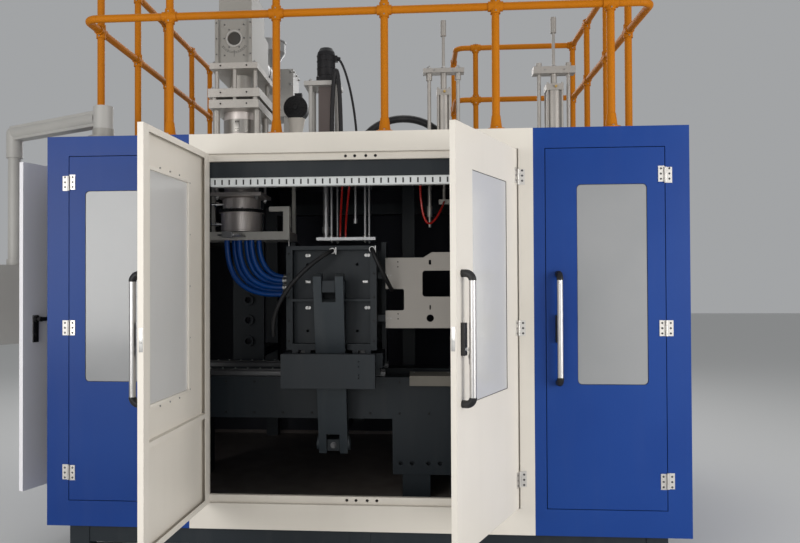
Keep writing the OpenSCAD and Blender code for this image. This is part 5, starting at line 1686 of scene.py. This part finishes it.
@dataclass
class BlowUnitDress:
    """Dresses the blow unit: the servo's seams and connectors, and the plates' nuts.

    Args:
        shop: Adds the pieces.
        servo_z: Height of the servo's foot.
        seams: Heights of its seams above its foot.
        rods: Places of the guide rods, from the blow pin.
    """

    shop: Workshop
    servo_z: float = ROOF_Z + 486
    seams: tuple[float, ...] = (52, 100, 148, 184)
    rods: tuple[tuple[float, float], ...] = ((-95, -60), (-70, 60), (123, -60), (141, 60))

    def build(self) -> None:
        """Adds all the unit's small pieces, and its finish."""
        shop, z0 = self.shop, self.servo_z
        servo = Shape()
        for z in self.seams:
            servo.lathe([(60.2, 0), (62.4, 0.8), (62.4, 3.2), (60.2, 4)], at(mm(SCREW_X, STATION_Y, z0 + z)), 48)
        plug = at(mm(SCREW_X + 76, STATION_Y, z0 + 168), Vector((1, 0, 0)))
        servo.lathe([(14, 0), (14, 9), (12, 11), (12, 17), (8.2, 19)], plug, 18)
        servo.block((SCREW_X - 52, STATION_Y - 62.5, z0 + 8), (SCREW_X + 52, STATION_Y - 58, z0 + 32), 1.5)
        shop.add("servo_seams", servo, Finish.BLACK_PLASTIC)
        corners = [(SCREW_X + sx * 48, STATION_Y + sy * 48, z0 + 40) for sx in SIDES for sy in SIDES]
        shop.scatter("servo_screws", cap_screw, spots(UP, corners), size=1.2)
        nuts = [(SCREW_X + dx, STATION_Y + side * 80, z0) for dx in (-92, 76) for side in SIDES]
        shop.scatter("blow_frame_nuts", hex_nut, spots(UP, nuts), size=1.3)
        rods = [(BLOW_X + x, STATION_Y + y) for x, y in self.rods]
        under = [(x, y, BLOW_PLATE_Z - 20) for x, y in rods]
        shop.scatter("blow_plate_nuts", hex_nut, spots(DOWN, under), body="blow_pin")
        collars = Shape()
        for x, y in rods:
            collars.lathe([(9.2, 0), (17, 0), (17, 10), (15, 12), (9.2, 12)], at(mm(x, y, BLOW_PLATE_Z)))
        shop.add("blow_plate_collars", collars, Finish.STEEL, "blow_pin")
        housing = Band(mm(SCREW_X, STATION_Y, 0), 75, ROOF_Z + 229, 229.5)
        dress("blow_servo", shop.materials.banded("servo_finish", "black_plastic", "screw_housing", housing))


@dataclass
class CylinderDress:
    """Dresses one roof cylinder and its crosshead with nuts, ports and screws.

    Args:
        shop: Adds the pieces.
        name: The cylinder's name.
        x: X of its axis.
        barrel: Diameter of its barrel.
        top: Height of its upper cap.
        plate: Span of its crosshead's height.
        nuts_x: X of the crosshead's nuts, from the axis.
        cap_ratio: Half of the square caps' width, for a barrel of 1.
    """

    shop: Workshop
    name: str
    x: float
    barrel: float
    top: float
    plate: tuple[float, float]
    nuts_x: tuple[float, ...]
    cap_ratio: float = 0.56

    def build(self) -> None:
        """Adds the cylinder's small pieces."""
        shop, name, x = self.shop, self.name, self.x
        cap = self.barrel * self.cap_ratio
        low, high = self.plate
        ties = [(x + sx * (cap - 8), STATION_Y + sy * (cap - 8), self.top) for sx in SIDES for sy in SIDES]
        shop.scatter(f"{name}_tie_nuts", hex_nut, spots(UP, ties), size=0.62)
        ports = spots(FRONT, [(x + 4, STATION_Y - cap, z) for z in (ROOF_Z + 20, self.top - 20)])
        shop.scatter(f"{name}_ports", hose_fitting, ports, "brass_fitting", slot=Finish.STEEL, size=0.9)
        body = f"{name}_crosshead"
        nuts = [(x + dx, STATION_Y, high) for dx in self.nuts_x]
        shop.scatter(f"{name}_plate_nuts", hex_nut, spots(UP, nuts), body=body, size=1.7)
        screws = [(x + side * 60, STATION_Y - 40, (low + high) / 2) for side in SIDES]
        shop.scatter(f"{name}_plate_screws", cap_screw, spots(FRONT, screws), body=body, size=0.9)


@dataclass
class BlowerDress:
    """Dresses the cooling blower.

    Args:
        shop: Adds the pieces.
        x: X of its axis.
        y: Y of its grille.
        z: Height of its axis.
        rings: Radii of the grille's rings.
    """

    shop: Workshop
    x: float = DIE_X + 315
    y: float = -147
    z: float = ROOF_Z + 405
    rings: tuple[float, ...] = (30, 48, 66, 80)

    def build(self) -> None:
        """Adds the blower's grille, and its finish."""
        x, y, z = self.x, self.y, self.z
        grille = Shape()
        for radius in self.rings:
            grille.tube([mm(x + dx, y, z + dz) for dx, dz in arc(radius, 40)], 1.6, 6, closed=True)
        for k in range(8):
            spoke = [arc(r, 1, 45 * k)[0] for r in (12, 82)]
            grille.tube([mm(x + dx, y - 1, z + dz) for dx, dz in spoke], 1.4, 6)
        grille.lathe([(15, 0), (15, 3), (12, 6), (0, 7)], at(mm(x, y + 2, z), FRONT))
        self.shop.add("blower_grille", grille, Finish.BLACK_PLASTIC)
        duct = Band(mm(x, -100, 0), 75.5, ROOF_Z + 168, 168.5)
        dress("cooling_blower", self.shop.materials.banded("blower_finish", "black_plastic", "cream_paint", duct))


@dataclass
class ExtruderDress:
    """Dresses the extruder.

    Args:
        shop: Adds the pieces.
        bands: Number of its heater bands.
        first_y: Y of the first band.
        step: From one band to the next.
    """

    shop: Workshop
    bands: int = 4
    first_y: float = -90
    step: float = 130

    def build(self) -> None:
        """Adds clamp bars and terminal boxes to the heater bands, and bolts to the gearbox."""
        start, step = mm(DIE_X, self.first_y, PORT_Z), mm(0, self.step, 0)
        self.shop.row("extruder_band_clamps", band_clamp, self.bands, start, step, Finish.STEEL)
        gear = spots(FRONT, [(DIE_X + s * 150, 620, PORT_Z + dz) for s in SIDES for dz in (-210, -90, 30, 130)])
        for side in SIDES:
            flank = [(DIE_X + side * 170, 640 + dy, PORT_Z + dz) for dy in (0, 120, 240) for dz in (-210, 130)]
            gear += spots(Vector((side, 0, 0)), flank)
        self.shop.scatter("gearbox_bolts", hex_nut, gear, size=1.1)


# --------------------------------------------------------------------------- clamp and bay


@dataclass
class ClampDress:
    """Dresses the clamp, the bed, the mask plate and the back of the bay.

    Args:
        shop: Adds the pieces.
        rim_x: From the clamp's middle to the screws in the platens' rims.
        rim_z: Heights of those screws.
        tilt: The lever's angle at rest, in degrees.
        rail_y: Y of the carriage's rails.
        tray_x: X of the tray's screws.
    """

    shop: Workshop
    rim_x: float = 254
    rim_z: tuple[float, ...] = (1180, 1300, 1440, 1580, 1700)
    tilt: float = 13
    rail_y: tuple[float, ...] = (-620, -140)
    tray_x: tuple[float, ...] = (290, 500, 700)

    def build(self) -> None:
        """Adds all the clamp's small pieces."""
        self._platens()
        self._lever()
        rails = [(x, y, 986) for y in self.rail_y for x in range(-1240, 90, 80)]
        self.shop.scatter("rail_screws", cap_screw, spots(UP, rails), size=1.1)
        self._mask()
        beams = [(x, -700, z) for x in range(-1240, 1300, 180) for z in (725, 915)]
        self.shop.scatter("bed_screws", cap_screw, spots(FRONT, beams), Finish.BLACK_PLASTIC, size=1.3)
        self._manifold()
        tray = [(x, -590, 962) for x in self.tray_x]
        self.shop.scatter("tray_screws", cap_screw, spots(UP, tray), size=0.9)

    def _platens(self) -> None:
        """Adds the bolts and keys of the front platen, and the screws in both platens' rims."""
        shop = self.shop
        bolts = [(x, -805, z) for z in (1691, 1376) for x in (-352, -338, 6, 22)]
        shop.scatter("front_platen_bolts", cap_screw, spots(FRONT, bolts), body="front_platen", size=2.0)
        keys = Shape()
        for x in (-345, 2):
            keys.block((x - 16, -812, 1524), (x + 16, -805, 1540), 2.0)
        shop.add("front_platen_keys", keys, Finish.STEEL, "front_platen")
        for body, y, facing in (("front_platen", PLATEN_Y, FRONT), ("rear_platen", 30, BACK)):
            rim = spots(facing, [(CLAMP_X + side * self.rim_x, y, z) for side in SIDES for z in self.rim_z])
            shop.scatter(f"{body}_rim_screws", cap_screw, rim, Finish.BLACK_PLASTIC, body, size=1.2)

    def _lever(self) -> None:
        """Adds the rocker lever's pin caps, grease point and end screw, and its shaft's nuts."""
        shop = self.shop
        lean = math.sin(math.radians(self.tilt))
        pivot = mm(CLAMP_X, PIVOT_Y, PIVOT_Z)
        caps = Shape()
        for side in SIDES:
            for x, y, z in ((side * 87, -492 * lean * 0.975, 480), (side * 97, 492.6 * lean, -480)):
                place = at(pivot + mm(x, y, z), Vector((side, 0, 0)))
                caps.lathe([(33, 0), (33, 4), (31, 6), (0, 6)], place, 32)
        shop.add("lever_pin_caps", caps, "lever_paint", "rocker_lever", Finish.FRAME_PAINT)
        grease = spots(FRONT, [(CLAMP_X, PIVOT_Y - 51, PIVOT_Z)])
        steel = Finish.STEEL
        shop.scatter("lever_grease_point", hose_fitting, grease, "brass_fitting", "rocker_lever", steel, 0.6)
        end = spots(FRONT, [(CLAMP_X, -783, 545)])
        shop.scatter("drawbar_end_screw", hex_nut, end, "oiled_steel", "rear_platen", steel, 1.6)
        shaft = [Spot(mm(CLAMP_X + side * 131, PIVOT_Y, PIVOT_Z), Vector((side, 0, 0))) for side in SIDES]
        shop.scatter("pivot_shaft_nuts", hex_nut, shaft, body="carriage", size=2.6)

    def _mask(self) -> None:
        """Adds the mask plate's screws and finish, and the clips of the platen's hoses."""
        shop = self.shop
        places = [(x, z) for z in (1310, 1570) for x in (132, 152)] + [(690, 1690), (690, 1280)]
        screws = spots(FRONT, [(x, MASK_Y, z) for x, z in places])
        shop.scatter("mask_plate_screws", cap_screw, screws, body="front_platen", size=0.9)
        arms = Band(mm(90, -742, 0), 29.8, 1460, 300)
        dress("mask_plate", shop.materials.banded("mask_finish", "inner_cream", "frame_paint", arms))
        clips = Shape()
        for x, drop in ((8, 30), (244, 22)):
            place = at(mm(CLAMP_X + x, PLATEN_Y - 0.2, PLATEN_TOP - drop), FRONT)
            clips.lathe([(13.2, 0), (19, 0), (19, 9), (17, 11), (13.2, 11), (13.2, 0)], place)
            clips.block((-22, -24, 0), (22, -17, 5), 1.0, place)
        shop.add("platen_hose_clips", clips, Finish.STEEL, "front_platen")

    def _manifold(self) -> None:
        """Adds the manifold of the blue hoses, with a sleeve on the end of each."""
        manifold = Shape().block((-513, -590, 1430), (-489, -510, 1590), 3.0)
        manifold.block((-505, -582, 1588), (-499, -562, 1803), 1.0)
        sleeve = [(17.2, 0), (21, 0), (21, 14), (19, 16), (19, 26), (17.2, 26), (17.2, 0)]
        for hose in HOSES:
            if hose.node == "water_hoses":
                end, before = mm(*hose.guides[3]), mm(*hose.guides[2])
                along = (end - before).normalized()
                manifold.lathe(sleeve, at(end - along * 0.028, along), 18)
        self.shop.add("hose_manifold", manifold, Finish.STEEL)


# --------------------------------------------------------------------------- enclosure


@dataclass
class EnclosureDress:
    """Dresses the enclosure and the base.

    Args:
        shop: Adds the pieces.
        rear_x: X of the screws of the rear panels.
        side_y: Y of the screws of the side panels.
        filter_x: From the machine's middle to each pair of filters.
        filter_z: Heights of the filters' feet.
        anchor: X and Y of the anchors, from the middle.
    """

    shop: Workshop
    rear_x: tuple[float, ...] = (-1700, -1310, -950, -900, -450, 0, 450, 900, 950, 1310, 1700)
    side_y: tuple[float, ...] = (-1225, -310, 300, 900, 1225)
    filter_x: float = 1325
    filter_z: tuple[float, ...] = (400, 1860)
    anchor: tuple[float, float] = (1500, 1150)

    def build(self) -> None:
        """Adds all the enclosure's small pieces, the painted shade on the rear panels' inner face and the dark block
        of painted shade inside the cable duct.
        """
        shop = self.shop
        rear = [(x, BACK_Y, z) for x in self.rear_x for z in (225, 1270, 2315)]
        shop.scatter("rear_panel_screws", cap_screw, spots(BACK, rear), size=1.2)
        self._filters()
        # The rear panels' inner face is painted dark: painted shade inside the machine.
        inner_face_shade = Band(mm(0, BACK_Y - 1, 0), 1722, 1275, 1063, reach=0)
        dress("rear_panels", shop.materials.banded("rear_panels_finish", "blue_paint", "rear_inner_shade", inner_face_shade))
        # A dark block inside the cable duct: painted shade seen through its slots.
        slot_shade = Shape().block((-838, -1227, 2064), (838, -1200, 2103), 4.0)
        shop.add("duct_wiring", slot_shade, "dark_recess", slot=Finish.BLACK_PLASTIC)
        sides = [
            Spot(mm(side * SIDE_X, y, z), Vector((side, 0, 0)))
            for side in SIDES for y in self.side_y for z in (225, 2315)
        ]
        shop.scatter("side_panel_screws", cap_screw, sides, size=1.2)
        x, y = self.anchor
        anchors = [(sx * x, sy * y, 25) for sx in SIDES for sy in SIDES]
        shop.scatter("anchor_nuts", hex_nut, spots(UP, anchors), size=1.7)

    def _filters(self) -> None:
        """Adds the filter mats behind the rear slots, each with its two holders."""
        mats = Shape()
        for x in (-self.filter_x, self.filter_x):
            for middle in (x - 130, x + 130):
                for foot in self.filter_z:
                    mats.block((middle - 104, 1276, foot - 20), (middle + 104, 1296.4, foot + 286), 3.0)
                    for edge in (middle - 96, middle + 96):
                        mats.block((edge - 5, 1270, foot - 12), (edge + 5, 1277, foot + 278), 1.5)
        self.shop.add("rear_filter_mats", mats, Finish.BLACK_PLASTIC)


@dataclass
class ControlPanelDress:
    """Dresses the control panel on its far side, which faces away from the camera.

    Args:
        shop: Adds the pieces.
        body: The panel's body.
        turn: Where the panel faces at rest, in degrees from X.
        reach: From the arm's pedestal to the panel's middle.
        depth: Half of the panel's depth.
        middle_z: Height of the panel's middle.
        screen_y: The screen's height above that.
    """

    shop: Workshop
    body: str = "control_panel"
    turn: float = 152.3
    reach: float = 832
    depth: float = 55
    middle_z: float = 1402
    screen_y: float = 75

    def build(self) -> None:
        """Adds the screen, the keys, the stop button and the screws of the back."""
        shop = self.shop
        out = Vector((*arc(1, 1, self.turn)[0], 0))
        side = Vector((-out.y, out.x, 0))
        elbow = mm(-1450, -1200, 0) + out * self.reach / 1000
        face = elbow + out * self.depth / 1000 + mm(0, 0, self.middle_z)
        place = Matrix.Translation(face) @ Matrix((side, UP, out)).transposed().to_4x4()
        black, middle = Finish.BLACK_PLASTIC, place @ Matrix.Translation(mm(0, self.screen_y, 0))
        screen = Shape().prism(rounded_outline(300, 210, 8), -4.0, 0.5, middle, 0.6)
        shop.add("panel_screen", screen, "screen", self.body, black)
        rim = [middle @ mm(x, y, 0.5) for x, y in rounded_outline(312, 222, 12)]
        shop.add("panel_bezel", Shape().tube(rim, 4.0, 6, closed=True), black, self.body)
        keys = Shape()
        for k in range(8):
            for y in (-122, -152):
                key = place @ Matrix.Translation(mm(-130 + 36 * k, y, 0))
                keys.prism(rounded_outline(26, 20, 4), 0, 4, key, 1.0)
        shop.add("panel_keys", keys, Finish.WHITE_PLASTIC, self.body)
        knob = [(21, 0), (21, 6), (13, 7), (13, 16), (22, 20), (22, 28), (17, 33), (0, 34)]
        stop = Shape().lathe(knob, place @ Matrix.Translation(mm(150, -205, 0)), 32)
        shop.add("panel_stop_button", stop, "red_button", self.body, black)
        rear = elbow - out * self.depth / 1000
        back = [Spot(rear + side * (s * 0.205) + mm(0, 0, z), -out) for s in SIDES for z in (1175, 1400, 1628)]
        shop.scatter("panel_back_screws", cap_screw, back, body=self.body, size=0.9)


# --------------------------------------------------------------------------- camera and light


PHOTO_WIDTH = 800.0
SENSOR = 36.0


def build_camera() -> None:
    """Sets the camera that was solved from the photograph."""
    focal, middle = 750.0, 363.0
    data = bpy.data.cameras.new("camera")
    data.sensor_fit = "HORIZONTAL"
    data.sensor_width = SENSOR
    data.lens = SENSOR * focal / PHOTO_WIDTH
    data.shift_x = (PHOTO_WIDTH / 2 - middle) / PHOTO_WIDTH
    data.clip_end = 60.0
    camera = link("camera", data)
    turn = Matrix.Rotation(math.radians(4.35), 4, "Z")
    pitch = Matrix.Rotation(math.radians(90.0 + 0.726), 4, "X")
    roll = Matrix.Rotation(math.radians(-0.235), 4, "Z")
    camera.matrix_world = Matrix.Translation(mm(329, -5300, 1536)) @ turn @ pitch @ roll
    bpy.context.scene.camera = camera


@dataclass(frozen=True)
class Softbox:
    """A large soft light.

    Args:
        name: Its name.
        place: Where it stands, in metres.
        target: Where it points, in metres.
        size: Its width and height, in metres.
        power: Its power, in watts.
        colour: Its colour.
    """

    name: str
    place: Point
    target: Point
    size: tuple[float, float]
    power: float
    colour: RGB = (1.0, 1.0, 1.0)

    def build(self) -> None:
        """Adds the light."""
        data = bpy.data.lights.new(self.name, "AREA")
        data.shape = "RECTANGLE"
        data.size, data.size_y = self.size
        data.energy = self.power
        data.color = self.colour
        lamp = link(self.name, data)
        lamp.location = self.place
        lamp.rotation_euler = (Vector(self.target) - Vector(self.place)).to_track_quat("-Z", "Y").to_euler()


SOFTBOXES = (
    Softbox("key_light", (-3.6, -6.4, 2.1), (0.0, -1.0, 1.3), (4.0, 2.6), 172.0, (1.0, 0.985, 0.96)),
    Softbox("fill_light", (5.4, -5.2, 1.9), (0.2, -1.0, 1.3), (3.5, 2.6), 232.0, (1.0, 0.985, 0.965)),
    Softbox("front_light", (0.3, -7.6, 1.8), (0.0, 0.0, 1.3), (3.0, 1.6), 34.0),
    Softbox("top_light", (0.0, 1.4, 6.4), (0.0, 0.4, 2.0), (6.0, 5.0), 120.0),
    Softbox("back_light", (-1.0, 6.0, 4.6), (0.0, 0.0, 1.8), (5.0, 3.0), 110.0),
)


def build_studio() -> None:
    """Adds the floor, the world and the lights."""
    shape = Shape().block((-30000, -30000, -40), (30000, 30000, 0), 0.0)
    floor = link("studio_floor", shape.mesh("studio_floor"))
    material = bpy.data.materials.new("studio_floor")
    material.use_nodes = True
    shader = material.node_tree.nodes["Principled BSDF"]
    shader.inputs["Base Color"].default_value = (0.62, 0.62, 0.61, 1)
    shader.inputs["Roughness"].default_value = 0.7
    floor.data.materials.append(material)
    world = bpy.data.worlds.new("studio")
    world.use_nodes = True
    background = world.node_tree.nodes["Background"]
    background.inputs["Color"].default_value = (0.86, 0.88, 0.90, 1)
    background.inputs["Strength"].default_value = 0.42
    bpy.context.scene.world = world
    for lamp in SOFTBOXES:
        lamp.build()
    bpy.context.scene.view_settings.view_transform = "Standard"


def main() -> None:
    """Dresses the whole machine."""
    logging.basicConfig(level=logging.INFO)
    build_camera()
    shop = Workshop(Materials())
    HoseDress(shop).build()
    for look, nodes in NODE_LOOKS.items():
        for node in nodes:
            dress(node, shop.materials.get(look))
    deflash = (ROOF_Z + 539, ROOF_Z + 567)
    ejector = (ROOF_Z + 516, ROOF_Z + 561)
    for part in (
        DoorDress(shop), GuardDress(shop), HeadDress(shop), BlowUnitDress(shop),
        CylinderDress(shop, "deflash", DEFLASH_X, 80, ROOF_Z + 432, deflash, (-93, 93, 0)),
        CylinderDress(shop, "ejector", EJECT_X, 96, ROOF_Z + 446, ejector, (0,)),
        BlowerDress(shop), ExtruderDress(shop), ClampDress(shop), EnclosureDress(shop), ControlPanelDress(shop),
    ):
        part.build()
        LOG.info("%s done", type(part).__name__)
    shop.close()
    build_studio()


if __name__ == "__main__":
    main()
